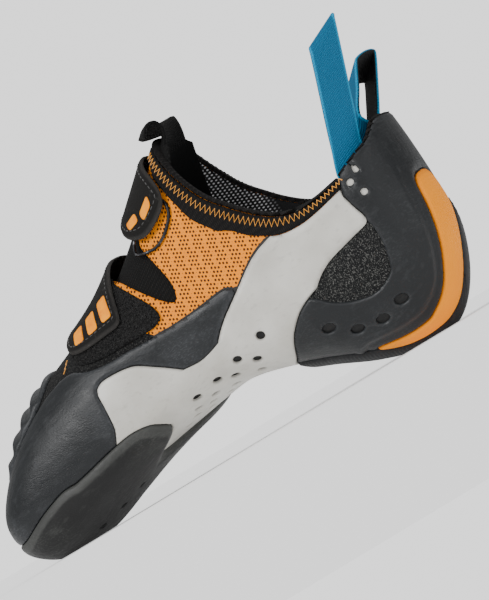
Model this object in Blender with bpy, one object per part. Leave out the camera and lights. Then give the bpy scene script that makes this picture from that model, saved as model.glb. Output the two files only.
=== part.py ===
"""A right-foot climbing shoe: hollow upper on a curved, downturned last, with its rubber pieces.

Metres. The toe points along -X, the heel along +X, the medial (big toe) side faces -Y and +Z is up.
The shoe stands on its toe and heel at z = 0, over the middle of its own box.

Every curved piece is a patch of one surface, the last. A place on the last has two numbers:
  around  0 at the middle of the heel, 1 where the heel's curve meets the side, 2 where the side
          meets the toe's curve, 3 at the toe tip, then 4 and 5 along the lateral side back to 6 = 0
  girth   -1 under the foot's middle line, 0 at the widest line of the side, 1 on the ridge above
A patch runs between two heights above the last, and its outline is a short table of such places.
"""
import math

import bmesh
import bpy
import numpy as np

for old in list(bpy.data.objects):
    bpy.data.objects.remove(old, do_unlink=True)

# Driving sizes of the last, over the outside of the upper
LAST_LENGTH = 0.2410
BALL_WIDTH = 0.0860
HEEL_WIDTH = 0.0560
TOE_BOX_HEIGHT = 0.0600
INSTEP_HEIGHT = 0.1220
ANKLE_HEIGHT = 0.1520       # ridge of the last above the collar, where the shoe is open
HEEL_BULGE_HEIGHT = 0.0480  # height of the heel's widest line
ARCH_HEIGHT = 0.0210        # lift of the sole under the arch
HEEL_HEIGHT = 0.0920        # top of the upper at the back
FLOOR_CUT = 0.0012          # how deep the floor's flat spots are ground into toe and heel
FITTING_GAP = 0.0003        # between pieces that meet
FACET_SAG = 0.0007          # how far a facet of the last lies inside its curve at the heel

# Thickness of each piece
UPPER_WALL = 0.0018
TONGUE_WALL = 0.0015
MIDSOLE_WALL = 0.0018
INSOLE_WALL = 0.0020
OUTSOLE_WALL = 0.0040
HEEL_SOLE_WALL = 0.0040
SOLE_EDGE_WALL = 0.0019     # where a sole thins out at its glued edge
SOLE_EDGE_TAPER = 0.0090    # how far in from its edge a sole reaches its full thickness
RAND_WALL = 0.0012
BAND_WALL = 0.0014
HEEL_CUP_WALL = 0.0014
HEEL_STRIP_WALL = 0.0019
TOE_PATCH_WALL = 0.0016
TOE_RIB_RISE = 0.0014
TOE_RIB_PITCH = 0.0088
BINDING_WALL = 0.0012
PILE_WALL = 0.0014
STRAP_WALL = 0.0018

# Seats of the soles, straps and ring above the last
SOLE_SEAT = OUTSOLE_WALL + FITTING_GAP
INSOLE_SEAT = -MIDSOLE_WALL - FITTING_GAP
TONGUE_SEAT = -UPPER_WALL - FITTING_GAP
STRAP_CLEARANCE = 2 * FITTING_GAP + FACET_SAG
RING_WIRE = 0.0016

# Pull loops at the heel
LOOP_WIDTH = 0.0185
LOOP_WALL = 0.0016
MEDIAL_LOOP_HEIGHT = 0.0500
LATERAL_LOOP_HEIGHT = 0.0300
MEDIAL_LOOP_AROUND = 0.76
LATERAL_LOOP_AROUND = 5.36
MEDIAL_LOOP_LEAN = (0.0190, -0.0030)
LATERAL_LOOP_LEAN = (0.0130, 0.0090)
MEDIAL_LOOP_OPENING = 0.0012
LATERAL_LOOP_OPENING = 0.0110
LOOP_ROOT = 0.0090          # length sewn inside the collar
LOOP_RIM = 0.0025           # how far the tape rises past the collar's edge before it leans
LOOP_GIRTH = 0.3            # where the tape's width is measured along the heel
LOOP_COLUMNS = 4
LOOP_LEG_SHARES = (0.25, 0.6, 0.9)   # heights of the rows along a leg, shares of its length
LOOP_TOP_ANGLES = (35, 90, 145)      # rows over the top, degrees
LOOP_TOP_START = 0.93                # share of the height at which the top's bend starts

# The tongue's top edge rolls outwards, in shares of the roll's height above the tongue
TONGUE_TOP = 0.1340
TONGUE_ROLL_HEIGHT = 0.0090
TONGUE_ROLL_END = 0.68      # girth at both ends of the roll
TONGUE_ROLL_COLUMNS = 10
TONGUE_ROLL_REACH = (1.25, 1.75)     # range of around in which the tongue's top lies
TONGUE_ROLL = (
    # out, up
    (0.00, 0.00),
    (0.02, 0.45),
    (0.20, 0.82),
    (0.55, 1.00),
    (0.88, 0.85),
    (1.05, 0.50),
    (1.08, 0.05),
)

# Ends of the last's middle line, as shares of its length from the toe
SPINE_TOE = 0.190
SPINE_HEEL = 0.885
TIP_SHIFT = -0.170          # the tip lies to the medial side, a share of the ball width
TOE_SQUARE_MEDIAL = 2.10
TOE_SQUARE_LATERAL = 1.68
HEEL_SQUARE = 2.00

# Lengths that one step of around or girth covers, for distances along the surface
HEEL_ARC = 0.75 * HEEL_WIDTH
SIDE_ARC = (SPINE_HEEL - SPINE_TOE) * LAST_LENGTH
TOE_ARC = 0.70 * BALL_WIDTH
GIRTH_ARC = 0.60 * BALL_WIDTH

# Plan of the last: along (share of length), width that the row follows, then shares of that width
PLAN = (
    # along, width, axis, medial, lateral
    (SPINE_TOE, BALL_WIDTH, -0.05, 0.430, 0.385),
    (0.300, BALL_WIDTH, 0.00, 0.470, 0.460),
    (0.400, BALL_WIDTH, 0.03, 0.450, 0.470),
    (0.520, BALL_WIDTH, 0.03, 0.395, 0.400),
    (0.640, HEEL_WIDTH, 0.03, 0.540, 0.505),
    (0.760, HEEL_WIDTH, 0.015, 0.515, 0.470),
    (SPINE_HEEL, HEEL_WIDTH, 0.00, 0.475, 0.445),
)
# Side of the last: underside in arch heights, then the widest line and the ridge, each with its height
SIDE = (
    # along, under, widest, its height, ridge, its height
    (0.000, 0.24, 0.36, TOE_BOX_HEIGHT, 0.70, TOE_BOX_HEIGHT),
    (0.065, -0.12, 0.40, TOE_BOX_HEIGHT, 0.88, TOE_BOX_HEIGHT),
    (0.110, -0.05, 0.445, TOE_BOX_HEIGHT, 1.02, TOE_BOX_HEIGHT),
    (0.190, 0.30, 0.52, TOE_BOX_HEIGHT, 1.20, TOE_BOX_HEIGHT),
    (0.280, 0.68, 0.60, TOE_BOX_HEIGHT, 0.665, INSTEP_HEIGHT),
    (0.360, 0.92, 0.320, INSTEP_HEIGHT, 0.740, INSTEP_HEIGHT),
    (0.440, 1.06, 0.352, INSTEP_HEIGHT, 0.850, INSTEP_HEIGHT),
    (0.520, 1.12, 0.373, INSTEP_HEIGHT, 0.980, INSTEP_HEIGHT),
    (0.600, 0.92, 0.384, INSTEP_HEIGHT, 1.110, INSTEP_HEIGHT),
    (0.680, 0.58, 0.950, HEEL_BULGE_HEIGHT, 0.995, ANKLE_HEIGHT),
    (0.760, 0.18, 0.920, HEEL_BULGE_HEIGHT, 1.010, ANKLE_HEIGHT),
    (0.830, -0.04, 0.935, HEEL_BULGE_HEIGHT, 1.018, ANKLE_HEIGHT),
    (0.900, 0.00, 0.990, HEEL_BULGE_HEIGHT, 1.018, ANKLE_HEIGHT),
    (0.960, 0.30, 1.040, HEEL_BULGE_HEIGHT, 1.000, ANKLE_HEIGHT),
    (1.000, 0.70, 1.080, HEEL_BULGE_HEIGHT, 0.980, ANKLE_HEIGHT),
)
# How square the section is: 2 is round, 3 has flat faces with tight corners
SQUARENESS = (
    # along, under, above
    (0.00, 2.6, 2.2),
    (0.19, 3.0, 2.2),
    (0.36, 2.8, 2.3),
    (0.52, 2.2, 2.5),
    (0.62, 2.1, 2.7),
    (0.72, 2.0, 2.6),
    (0.88, 2.0, 2.2),
    (1.00, 2.0, 2.2),
)

# Top edge of the upper, with heights as shares of the heel height
COLLAR = (
    # around, height
    (0.00, 1.010),
    (0.30, 1.005),
    (0.52, 0.940),
    (0.75, 0.900),
    (1.00, 0.850),
    (1.08, 0.830),
    (1.13, 0.835),
    (1.18, 0.865),
    (1.23, 0.930),
    (1.28, 1.020),
    (1.34, 1.160),
    (1.38, 1.320),
    (1.41, 1.500),
    (1.44, 1.700),
)
COLLAR_BAND = 0.0075        # depth of the binding below the collar's edge
COLLAR_BAND_ENDS = (1.14, 1.39)
BINDING_ROWS = 5
BINDING_COLUMNS = 11
BINDING_TRIM = 0.05         # share of the band cut off at a time until it is clear of the rubber
BINDING_TRIMS = 40

# Line along the side that the outsole reaches, and the lasting margin under the foot
SOLE_LINE = (
    # around, girth
    (1.60, -0.20),
    (1.84, -0.20),
    (1.97, -0.17),
    (2.08, -0.11),
    (2.22, -0.11),
    (2.40, -0.15),
    (2.60, -0.23),
    (3.00, -0.26),
)
LASTING_GIRTH = -0.70

# Back edge of the outsole, a wave with one tooth: both columns are shares, of width and of length
OUTSOLE_BACK = (
    # side, along
    (-0.52, 0.290),
    (-0.465, 0.335),
    (-0.41, 0.367),
    (-0.36, 0.380),
    (-0.30, 0.381),
    (-0.265, 0.370),
    (-0.22, 0.346),
    (-0.11, 0.309),
    (-0.045, 0.313),
    (0.06, 0.340),
    (0.19, 0.386),
    (0.30, 0.413),
    (0.42, 0.436),
    (0.52, 0.438),
)

# Upper edge of the heel's sole, counted around from the heel's middle, negative on the lateral side
HEEL_SOLE_LINE = (
    # around, girth
    (-3.00, -0.77),
    (-1.40, -0.77),
    (-1.00, -0.70),
    (-0.60, -0.52),
    (-0.35, -0.28),
    (-0.14, -0.04),
    (0.00, -0.10),
    (0.20, -0.40),
    (0.40, -0.60),
    (0.60, -0.72),
    (0.92, -0.75),
    (1.17, -0.76),
    (3.00, -0.77),
)

# Outlines on the medial side, as (around, girth)
BAND_OUTLINE = (
    (1.845, -0.20), (1.825, 0.02), (1.822, 0.15), (1.825, 0.24), (1.805, 0.265),
    (1.77, 0.245), (1.73, 0.21), (1.70, 0.175), (1.66, 0.10), (1.62, 0.035), (1.585, -0.02),
    (1.55, -0.065), (1.51, -0.04), (1.46, 0.035), (1.38, 0.09), (1.30, 0.14), (1.21, 0.17),
    (1.10, 0.18), (1.02, 0.19), (0.94, 0.225), (0.90, 0.21), (0.99, 0.175), (1.01, 0.145),
    (0.99, 0.11), (0.91, 0.055), (1.06, 0.05), (1.14, 0.035), (1.20, -0.01), (1.25, -0.09),
    (1.29, -0.22), (1.32, -0.36), (1.35, -0.60), (1.375, -0.78), (1.39, -1.02),
    (1.85, -1.02), (1.90, -0.60), (1.87, -0.30),
)
RAND_OUTLINE = (
    (1.36, 0.08), (1.39, 0.12), (1.44, 0.125), (1.50, 0.135), (1.57, 0.16), (1.60, 0.18),
    (1.65, 0.21), (1.70, 0.255), (1.75, 0.295), (1.80, 0.345), (1.84, 0.40), (1.88, 0.50),
    (1.95, 0.55), (2.20, 0.52), (2.60, 0.45), (3.00, 0.42), (3.10, 0.42), (3.10, -0.6),
    (1.36, -0.6),
)
TOE_PATCH_OUTLINE = (
    (1.98, 1.02), (1.98, 0.62), (2.10, 0.56), (2.40, 0.50), (2.70, 0.44), (3.10, 0.42),
    (3.10, 1.02),
)
HEEL_CUP_OUTLINE = (
    (-0.10, 0.40), (0.20, 0.40), (0.50, 0.40), (0.75, 0.30), (0.88, 0.27), (0.93, 0.25),
    (1.10, 0.10), (1.42, -0.20), (1.42, -0.82), (-0.10, -0.82),
)
WINDOW_OUTLINE = (
    (0.93, 0.055), (1.05, 0.07), (1.16, 0.05), (1.24, -0.02), (1.20, -0.06), (1.18, -0.13),
    (1.14, -0.195), (1.09, -0.23), (1.05, -0.235), (1.01, -0.20), (0.965, -0.14), (0.93, -0.06),
    (0.915, 0.01),
)
STRIP_OUTLINE = (
    (0.30, 0.075), (0.33, 0.00), (0.35, -0.12), (0.38, -0.26), (0.43, -0.38), (0.52, -0.51),
    (0.68, -0.60), (0.92, -0.66), (1.06, -0.68), (1.13, -0.69), (1.17, -0.745), (1.13, -0.795),
    (1.05, -0.84), (0.60, -0.84), (0.26, -0.78), (0.09, -0.70), (0.00, -0.57), (-0.05, -0.44),
    (-0.09, -0.30), (-0.12, -0.14), (-0.12, 0.02), (-0.04, 0.075), (0.12, 0.085),
)
THROAT_MEDIAL = (
    (1.34, 1.05), (1.37, 0.90), (1.44, 0.78), (1.52, 0.66), (1.56, 0.55), (1.55, 0.47),
    (1.53, 0.36), (1.515, 0.27), (1.525, 0.215), (1.55, 0.25), (1.58, 0.32), (1.62, 0.44),
    (1.66, 0.60), (1.70, 0.80), (1.73, 1.05),
)
THROAT_LATERAL = (
    (1.34, 1.05), (1.37, 0.90), (1.44, 0.78), (1.52, 0.66), (1.60, 0.64), (1.68, 0.74),
    (1.73, 1.05),
)
TONGUE_OUTLINE = (
    (1.32, 1.05), (1.33, 0.80), (1.37, 0.60), (1.46, 0.20), (1.53, 0.12), (1.60, 0.24),
    (1.68, 0.50), (1.74, 0.66), (1.79, 1.05),
)
PILE_OUTLINE = (
    (1.572, 0.235), (1.60, 0.212), (1.65, 0.245), (1.70, 0.29), (1.75, 0.335), (1.80, 0.39),
    (1.84, 0.45), (1.87, 0.57), (1.87, 0.74), (1.68, 0.74), (1.675, 0.62), (1.63, 0.43),
)
STRAP_UPPER_OUTLINE = (
    (1.445, 1.05), (1.44, 0.70), (1.425, 0.58), (1.415, 0.49), (1.43, 0.445), (1.50, 0.455),
    (1.535, 0.50), (1.565, 0.58), (1.578, 0.70), (1.58, 1.05),
)
STRAP_LOWER_OUTLINE = (
    (1.665, 1.05), (1.665, 0.66), (1.67, 0.52), (1.675, 0.39), (1.69, 0.37), (1.74, 0.42),
    (1.80, 0.47), (1.845, 0.53), (1.865, 0.62), (1.87, 1.05),
)
STRAP_UPPER_ROOT = ((1.445, 1.05), (1.445, 0.05), (1.58, 0.05), (1.58, 1.05))
STRAP_LOWER_ROOT = ((1.665, 1.05), (1.665, 0.05), (1.87, 0.05), (1.87, 1.05))
STRAP_ROOT_GIRTH = 0.26     # how far down the lateral side the straps are sewn on

# Ring at the end of the upper strap, a rounded oblong along the strap's edge
RING_PLACES = (
    (1.437, 0.415), (1.47, 0.40), (1.505, 0.41), (1.54, 0.45), (1.565, 0.50), (1.563, 0.545),
    (1.545, 0.565), (1.515, 0.535), (1.48, 0.505), (1.45, 0.495), (1.43, 0.48), (1.425, 0.44),
)
RING_SIDES = 6

# Size of the faceted grid that the patches are cut from
HEEL_COLUMNS = 4
SIDE_COLUMNS = 18
TOE_COLUMNS = 6
ROWS = (-1.0, -0.85, -0.70, -0.57, -0.45, -0.34, -0.23, -0.12, 0.0, 0.12, 0.24, 0.37, 0.51, 0.66,
        0.83, 1.0)
SNAP = 0.0001               # an outline this close to a grid point runs through it

# Steps of the solvers
SLOPE_STEP = 0.01           # in around, between the two points that a slope is measured over
NORMAL_STEP = 0.001         # the same for the last's normals
HALVINGS = 30               # of a range in which a height is looked for
CROSSING_HALVINGS = 14      # of a grid edge that an outline crosses
CROSSING_END = 0.02         # nearest that a crossing comes to the edge's ends, a share of it


def curve(rows, value):
    """A smooth curve through (place, value) rows of a table."""
    place = np.array([row[0] for row in rows])
    height = np.array([value(row) for row in rows])
    step = np.diff(place)
    rise = np.diff(height) / step
    slope = np.empty_like(height)
    slope[1:-1] = (rise[:-1] * step[1:] + rise[1:] * step[:-1]) / (step[1:] + step[:-1])
    slope[0] = rise[0]
    slope[-1] = rise[-1]

    def read(at):
        at = np.clip(np.asarray(at, float), place[0], place[-1])
        k = np.clip(np.searchsorted(place, at, side="right") - 1, 0, len(place) - 2)
        t = (at - place[k]) / step[k]
        return ((2 * t**3 - 3 * t**2 + 1) * height[k] + (t**3 - 2 * t**2 + t) * step[k] * slope[k]
                + (3 * t**2 - 2 * t**3) * height[k + 1] + (t**3 - t**2) * step[k] * slope[k + 1])
    return read


plan_axis = curve(PLAN, lambda row: row[1] * row[2])
plan_medial = curve(PLAN, lambda row: row[1] * row[3])
plan_lateral = curve(PLAN, lambda row: row[1] * row[4])
side_under = curve(SIDE, lambda row: row[1] * ARCH_HEIGHT + SOLE_SEAT)
side_widest = curve(SIDE, lambda row: row[2] * row[3])
side_ridge = curve(SIDE, lambda row: row[4] * row[5])
square_under = curve(SQUARENESS, lambda row: row[1])
square_above = curve(SQUARENESS, lambda row: row[2])
collar_height = curve(COLLAR, lambda row: row[1] * HEEL_HEIGHT)
sole_line = curve(SOLE_LINE, lambda row: row[1])
outsole_back = curve(OUTSOLE_BACK, lambda row: row[1])


def squircle(angle, square):
    """Cosine and sine of a turn around a circle that is made squarer."""
    c = np.abs(np.cos(angle))
    s = np.abs(np.sin(angle))
    reach = (c**square + s**square) ** (-1 / square)
    return c * reach, s * reach


def last_point(around, girth):
    """Point on the last at a place given by around and girth."""
    around = np.mod(around, 6.0)
    medial = around <= 3
    turn = np.where(medial, around, 6 - around)
    in_heel = turn < 1
    in_toe = turn > 2
    along = SPINE_HEEL + np.clip(turn - 1, 0, 1) * (SPINE_TOE - SPINE_HEEL)
    angle = np.where(in_heel, turn, np.where(in_toe, 3 - turn, 1.0)) * math.pi / 2
    square = np.where(in_toe, np.where(medial, TOE_SQUARE_MEDIAL, TOE_SQUARE_LATERAL), HEEL_SQUARE)
    forth, out = squircle(angle, square)
    reach = np.where(in_heel, 1 - SPINE_HEEL, np.where(in_toe, -SPINE_TOE, 0.0)) * LAST_LENGTH
    half_width = np.where(medial, -plan_medial(along), plan_lateral(along))
    edge_x = reach * forth
    edge_y = half_width * out + np.where(in_toe, TIP_SHIFT * BALL_WIDTH * forth**2, 0.0)
    square = np.where(girth < 0, square_under(along), square_above(along))
    share, rise = squircle(girth * math.pi / 2, square)
    x = along * LAST_LENGTH + share * edge_x
    y = plan_axis(along) + share * edge_y
    here = x / LAST_LENGTH
    widest = side_widest(here)
    goal = np.where(girth < 0, side_under(here), side_ridge(here))
    return np.stack([x - LAST_LENGTH / 2, y, widest + (goal - widest) * rise], axis=-1)


def last_normal(around, girth):
    """Direction straight out of the last."""
    step = NORMAL_STEP
    girth = np.clip(girth, -1 + 2 * step, 1 - 2 * step)
    across = last_point(around + step, girth) - last_point(around - step, girth)
    up = last_point(around, girth + step) - last_point(around, girth - step)
    out = np.cross(up, across)
    return out / np.linalg.norm(out, axis=-1, keepdims=True)


class Last:
    """The last as a welded triangle grid, with the place of each of its points."""

    def __init__(self):
        medial = np.concatenate([
            np.arange(HEEL_COLUMNS) / HEEL_COLUMNS,
            1 + np.arange(SIDE_COLUMNS) / SIDE_COLUMNS,
            2 + np.arange(TOE_COLUMNS) / TOE_COLUMNS])
        columns = np.concatenate([medial, [3.0], 6 - medial[:0:-1]])
        around, girth = np.meshgrid(columns, ROWS, indexing="ij")
        count, height = around.shape
        names = np.arange(count * height).reshape(count, height)
        spine = np.rint(np.clip(np.minimum(columns, 6 - columns) - 1, 0, 1) * SIDE_COLUMNS).astype(int)
        for row in (0, height - 1):
            first = {}
            for column in range(count):
                names[column, row] = first.setdefault(spine[column], names[column, row])
        normal = last_normal(around, girth).reshape(-1, 3)
        total = np.zeros_like(normal)
        np.add.at(total, names.ravel(), normal)
        self.normal = total / np.maximum(np.linalg.norm(total, axis=1, keepdims=True), 1e-9)
        self.point = last_point(around, girth).reshape(-1, 3)
        self.around = around.ravel()
        self.girth = girth.ravel()
        self.faces = []
        for column in range(count):
            after = (column + 1) % count
            for row in range(height - 1):
                a, b = names[column, row], names[after, row]
                c, d = names[after, row + 1], names[column, row + 1]
                self.faces += [face for face in ((a, c, b), (a, d, c)) if len(set(face)) == 3]


def flat_place(around, girth):
    """Place on the last laid out flat, in metres, so that distances can be measured."""
    turns = np.interp(around, [-1, 0, 1, 2, 3, 4], np.cumsum(
        [-HEEL_ARC, HEEL_ARC, HEEL_ARC, SIDE_ARC, TOE_ARC, TOE_ARC]))
    return turns, np.asarray(girth) * GIRTH_ARC


def inside(outline, around, girth):
    """Distance from the edge of an outline, positive inside it."""
    px, py = flat_place(around, girth)
    ox, oy = flat_place(np.array([p[0] for p in outline]), np.array([p[1] for p in outline]))
    nearest = np.full(px.shape, np.inf)
    crossing = np.zeros(px.shape, int)
    for k in range(len(ox)):
        ax, ay, bx, by = ox[k - 1], oy[k - 1], ox[k], oy[k]
        dx, dy = bx - ax, by - ay
        t = np.clip(((px - ax) * dx + (py - ay) * dy) / (dx * dx + dy * dy), 0, 1)
        nearest = np.minimum(nearest, np.hypot(px - ax - t * dx, py - ay - t * dy))
        spans = (ay > py) != (by > py)
        side = (bx - ax) * (py - ay) / np.where(by == ay, 1, by - ay) + ax
        crossing += spans & (px < side)
    return np.where(crossing % 2 == 1, nearest, -nearest)


def mirrored(around):
    """The same place on the medial side, so that both sides share one outline."""
    return np.minimum(around, 6 - around)


def signed(around):
    """Around, counted from the heel's middle: negative on the lateral side."""
    return np.where(around > 3, around - 6, around)


def material(name, colour, roughness, metallic=0.0):
    """A plain Principled material."""
    made = bpy.data.materials.new(name)
    made.use_nodes = True
    shader = made.node_tree.nodes["Principled BSDF"]
    shader.inputs["Base Color"].default_value = (*colour, 1.0)
    shader.inputs["Roughness"].default_value = roughness
    shader.inputs["Metallic"].default_value = metallic
    return made


dark_rubber = material("dark_rubber", (0.040, 0.044, 0.050), 0.55)
sole_rubber = material("sole_rubber", (0.028, 0.028, 0.027), 0.70)
grey_rubber = material("grey_rubber", (0.560, 0.545, 0.490), 0.50)
orange_rubber = material("orange_rubber", (0.900, 0.350, 0.010), 0.55)
orange_mesh = material("orange_mesh", (0.830, 0.320, 0.020), 0.80)
black_knit = material("black_knit", (0.030, 0.026, 0.023), 0.90)
black_pile = material("black_pile", (0.012, 0.012, 0.012), 0.95)
black_webbing = material("black_webbing", (0.018, 0.017, 0.016), 0.85)
teal_webbing = material("teal_webbing", (0.003, 0.190, 0.330), 0.80)
pale_board = material("pale_board", (0.300, 0.290, 0.270), 0.80)
dark_wire = material("dark_wire", (0.060, 0.060, 0.062), 0.35, 1.0)


def add_object(name, points, faces, finish):
    """A mesh object from points and faces, with its facets turned outward."""
    mesh = bpy.data.meshes.new(name)
    mesh.from_pydata([tuple(map(float, p)) for p in points], [], [tuple(map(int, f)) for f in faces])
    shape = bmesh.new()
    shape.from_mesh(mesh)
    bmesh.ops.triangulate(shape, faces=shape.faces)
    if shape.calc_volume(signed=True) < 0:
        bmesh.ops.reverse_faces(shape, faces=shape.faces)
    shape.to_mesh(mesh)
    shape.free()
    mesh.materials.append(finish)
    made = bpy.data.objects.new(name, mesh)
    bpy.context.scene.collection.objects.link(made)
    return made


def main_body(faces):
    """The largest connected group of faces."""
    owner = {}
    groups = []
    for face in faces:
        joined = {owner[p] for p in face if p in owner}
        group = [face]
        for k in joined:
            group += groups[k]
            groups[k] = []
        groups.append(group)
        for member in group:
            for p in member:
                owner[p] = len(groups) - 1
    return max(groups, key=len)


last = Last()


def patch(name, within, low, high, finish, floor=False):
    """A piece over the part of the last where within(around, girth) is positive.

    low and high are heights above the last. Each is one value, or a function of within's value,
    around and girth where a piece tapers. A piece on the floor is cut flat there.
    """
    value = within(last.around, last.girth)
    value = np.where(np.abs(value) < SNAP, 0.0, value)
    low = low(value, last.around, last.girth) if callable(low) else np.full(value.shape, low)
    high = high(value, last.around, last.girth) if callable(high) else np.full(value.shape, high)
    low_points = last.point + last.normal * low[:, None]
    high_points = last.point + last.normal * high[:, None]
    if floor:
        high_points[:, 2] = np.maximum(high_points[:, 2], FLOOR_CUT)
    crossed = sorted({(min(a, b), max(a, b)) for face in last.faces
                      for a, b in zip(face, face[1:] + face[:1]) if value[a] * value[b] < 0})
    first = np.array([edge[0] for edge in crossed])
    second = np.array([edge[1] for edge in crossed])
    share = crossing_share(within, first, second, value)[:, None]
    lows = np.concatenate([low_points, low_points[first] * (1 - share) + low_points[second] * share])
    highs = np.concatenate([high_points,
                            high_points[first] * (1 - share) + high_points[second] * share])
    cut = {edge: k + len(value) for k, edge in enumerate(crossed)}
    faces = []
    for face in last.faces:
        ring = []
        for a, b in zip(face, face[1:] + face[:1]):
            if value[a] >= 0:
                ring.append(a)
            if value[a] * value[b] < 0:
                ring.append(cut[(min(a, b), max(a, b))])
        if len(ring) > 2 and any(value[p] > 0 for p in ring if p < len(value)):
            faces += [(ring[0], ring[k], ring[k + 1]) for k in range(1, len(ring) - 1)]
    faces = main_body(faces)
    used = sorted({p for face in faces for p in face})
    order = {p: k for k, p in enumerate(used)}
    half = len(used)
    solid = []
    edges = set()
    for face in faces:
        a, b, c = (order[p] for p in face)
        solid += [(a, c, b), (a + half, b + half, c + half)]
        edges |= {(a, b), (b, c), (c, a)}
    for a, b in sorted(edges):
        if (b, a) not in edges:
            solid += [(a, b, b + half), (a, b + half, a + half)]
    return add_object(name, np.concatenate([lows[used], highs[used]]), solid, finish)


def beside(near, around, on_spine):
    """Around of a grid point, named on the side of a near one: the spine's points are on both sides."""
    on_side = np.where(near > 3, 6 - mirrored(around), mirrored(around))
    at_end = (mirrored(near) < 1) | (mirrored(near) > 2)
    moved = np.where(on_spine, np.where(at_end, near, on_side), around)
    return moved + 6 * np.rint((near - moved) / 6)


def crossing_share(within, first, second, value):
    """Where an outline crosses the grid's edges, as shares from their first ends."""
    around_first = beside(last.around[second], last.around[first], np.abs(last.girth[first]) == 1)
    around_second = beside(around_first, last.around[second], np.abs(last.girth[second]) == 1)
    low = np.zeros(len(first))
    high = np.ones(len(first))
    for _ in range(CROSSING_HALVINGS):
        middle = (low + high) / 2
        here = within(np.mod(around_first * (1 - middle) + around_second * middle, 6),
                      last.girth[first] * (1 - middle) + last.girth[second] * middle)
        before = here * value[first] > 0
        low = np.where(before, middle, low)
        high = np.where(before, high, middle)
    return np.clip((low + high) / 2, CROSSING_END, 1 - CROSSING_END)


def outline(points):
    """A piece with the same outline on both sides."""
    return lambda around, girth: inside(points, mirrored(around), girth)


def by_side(medial, lateral):
    """A piece with an outline of its own on each side."""
    return lambda around, girth: np.where(around <= 3, medial(around, girth), lateral(around, girth))


def within_all(*parts):
    """What all the parts share."""
    return lambda around, girth: np.min([part(around, girth) for part in parts], axis=0)


def clear_of(part, *others):
    """What is left of a piece beside its neighbours, less the fitting gap."""
    return lambda around, girth: np.min(
        [part(around, girth)] + [-other(around, girth) - FITTING_GAP for other in others], axis=0)


def collar_slope(turn):
    """Rise of the collar's edge along the side."""
    rise = collar_height(turn + SLOPE_STEP) - collar_height(turn - SLOPE_STEP)
    return rise / (2 * SLOPE_STEP * SIDE_ARC)


def below_collar(around, girth):
    """Distance below the upper's top edge, measured square to that edge."""
    turn = mirrored(around)
    drop = collar_height(turn) - last_point(around, girth)[..., 2]
    return drop / np.sqrt(1 + collar_slope(turn)**2)


def above_girth(line):
    """Distance above a line along the side."""
    return lambda around, girth: (girth - line) * GIRTH_ARC


def outsole_area(around, girth):
    """Under the foot up to the sole line, and forward of the outsole's waved back edge."""
    point = last_point(around, girth)
    back = outsole_back(point[..., 1] / BALL_WIDTH) - point[..., 0] / LAST_LENGTH - 0.5
    return np.minimum((sole_line(mirrored(around)) - girth) * GIRTH_ARC, back * LAST_LENGTH)


def heel_sole_area(around, girth):
    """Under the heel, climbing its back on the lateral side of the heel strip."""
    turn, line = zip(*HEEL_SOLE_LINE)
    edge = (np.interp(signed(around), turn, line) - girth) * GIRTH_ARC
    return np.minimum(edge, last_point(around, girth)[..., 0])


def heel_strip(around, girth):
    """The strip around the heel's back corner, which crosses the heel's middle line."""
    return inside(STRIP_OUTLINE, signed(around), girth)


throat = by_side(outline(THROAT_MEDIAL), outline(THROAT_LATERAL))
upper = clear_of(within_all(below_collar, above_girth(LASTING_GIRTH)), throat)
arch_band = clear_of(outline(BAND_OUTLINE), outsole_area)
heel_sole = clear_of(heel_sole_area, heel_strip, arch_band)
toe_rand = clear_of(outline(RAND_OUTLINE), outsole_area, arch_band)
toe_patch = clear_of(outline(TOE_PATCH_OUTLINE), toe_rand)
heel_cup = clear_of(within_all(outline(HEEL_CUP_OUTLINE), below_collar),
                    arch_band, outline(WINDOW_OUTLINE), heel_strip, heel_sole)
pile_patch = clear_of(outline(PILE_OUTLINE), toe_rand, arch_band)


def board(around, girth):
    """Under the foot, inside the upper's lasted edge."""
    return (LASTING_GIRTH - girth) * GIRTH_ARC - FITTING_GAP


def medial_only(part):
    """The medial half of a piece that both sides share."""
    return by_side(part, lambda around, girth: np.full(np.shape(around), -1.0))


def sole_thickness(full):
    """Height of a sole's outer face: thin at the glued edge, full further in."""
    def height(value, around, girth):
        share = np.clip(value / SOLE_EDGE_TAPER, 0, 1)
        return FITTING_GAP + SOLE_EDGE_WALL + (full - SOLE_EDGE_WALL) * share * (2 - share)
    return height


def ribbed(wall, rise):
    """Height of a ribbed sheet's outer face, the ribs running across the toe."""
    def height(value, around, girth):
        along = last_point(around, girth)[..., 0] / TOE_RIB_PITCH
        return FITTING_GAP + wall + rise * (0.5 + 0.5 * np.cos(2 * math.pi * along))
    return height


def shell(name, part, wall, finish, floor=False):
    """A piece glued or sewn on the upper."""
    return patch(name, part, FITTING_GAP, FITTING_GAP + wall, finish, floor)


def strap(name, medial_end, root, seat):
    """A strap over the instep: its free end on the medial side, sewn on at the lateral side."""
    lateral = within_all(outline(root), above_girth(STRAP_ROOT_GIRTH))
    part = clear_of(by_side(outline(medial_end), lateral), arch_band, toe_rand)
    return patch(name, part, seat, seat + STRAP_WALL, black_webbing)


# The upper, the board that closes it underneath, the insole and the tongue
patch("upper", upper, -UPPER_WALL, 0.0, orange_mesh)
patch("midsole", board, -MIDSOLE_WALL, 0.0, pale_board)
patch("insole", board, INSOLE_SEAT - INSOLE_WALL, INSOLE_SEAT, black_knit)
tongue = within_all(outline(TONGUE_OUTLINE),
                    lambda around, girth: TONGUE_TOP - last_point(around, girth)[..., 2])
patch("tongue", tongue, TONGUE_SEAT - TONGUE_WALL, TONGUE_SEAT, black_knit)

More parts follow.
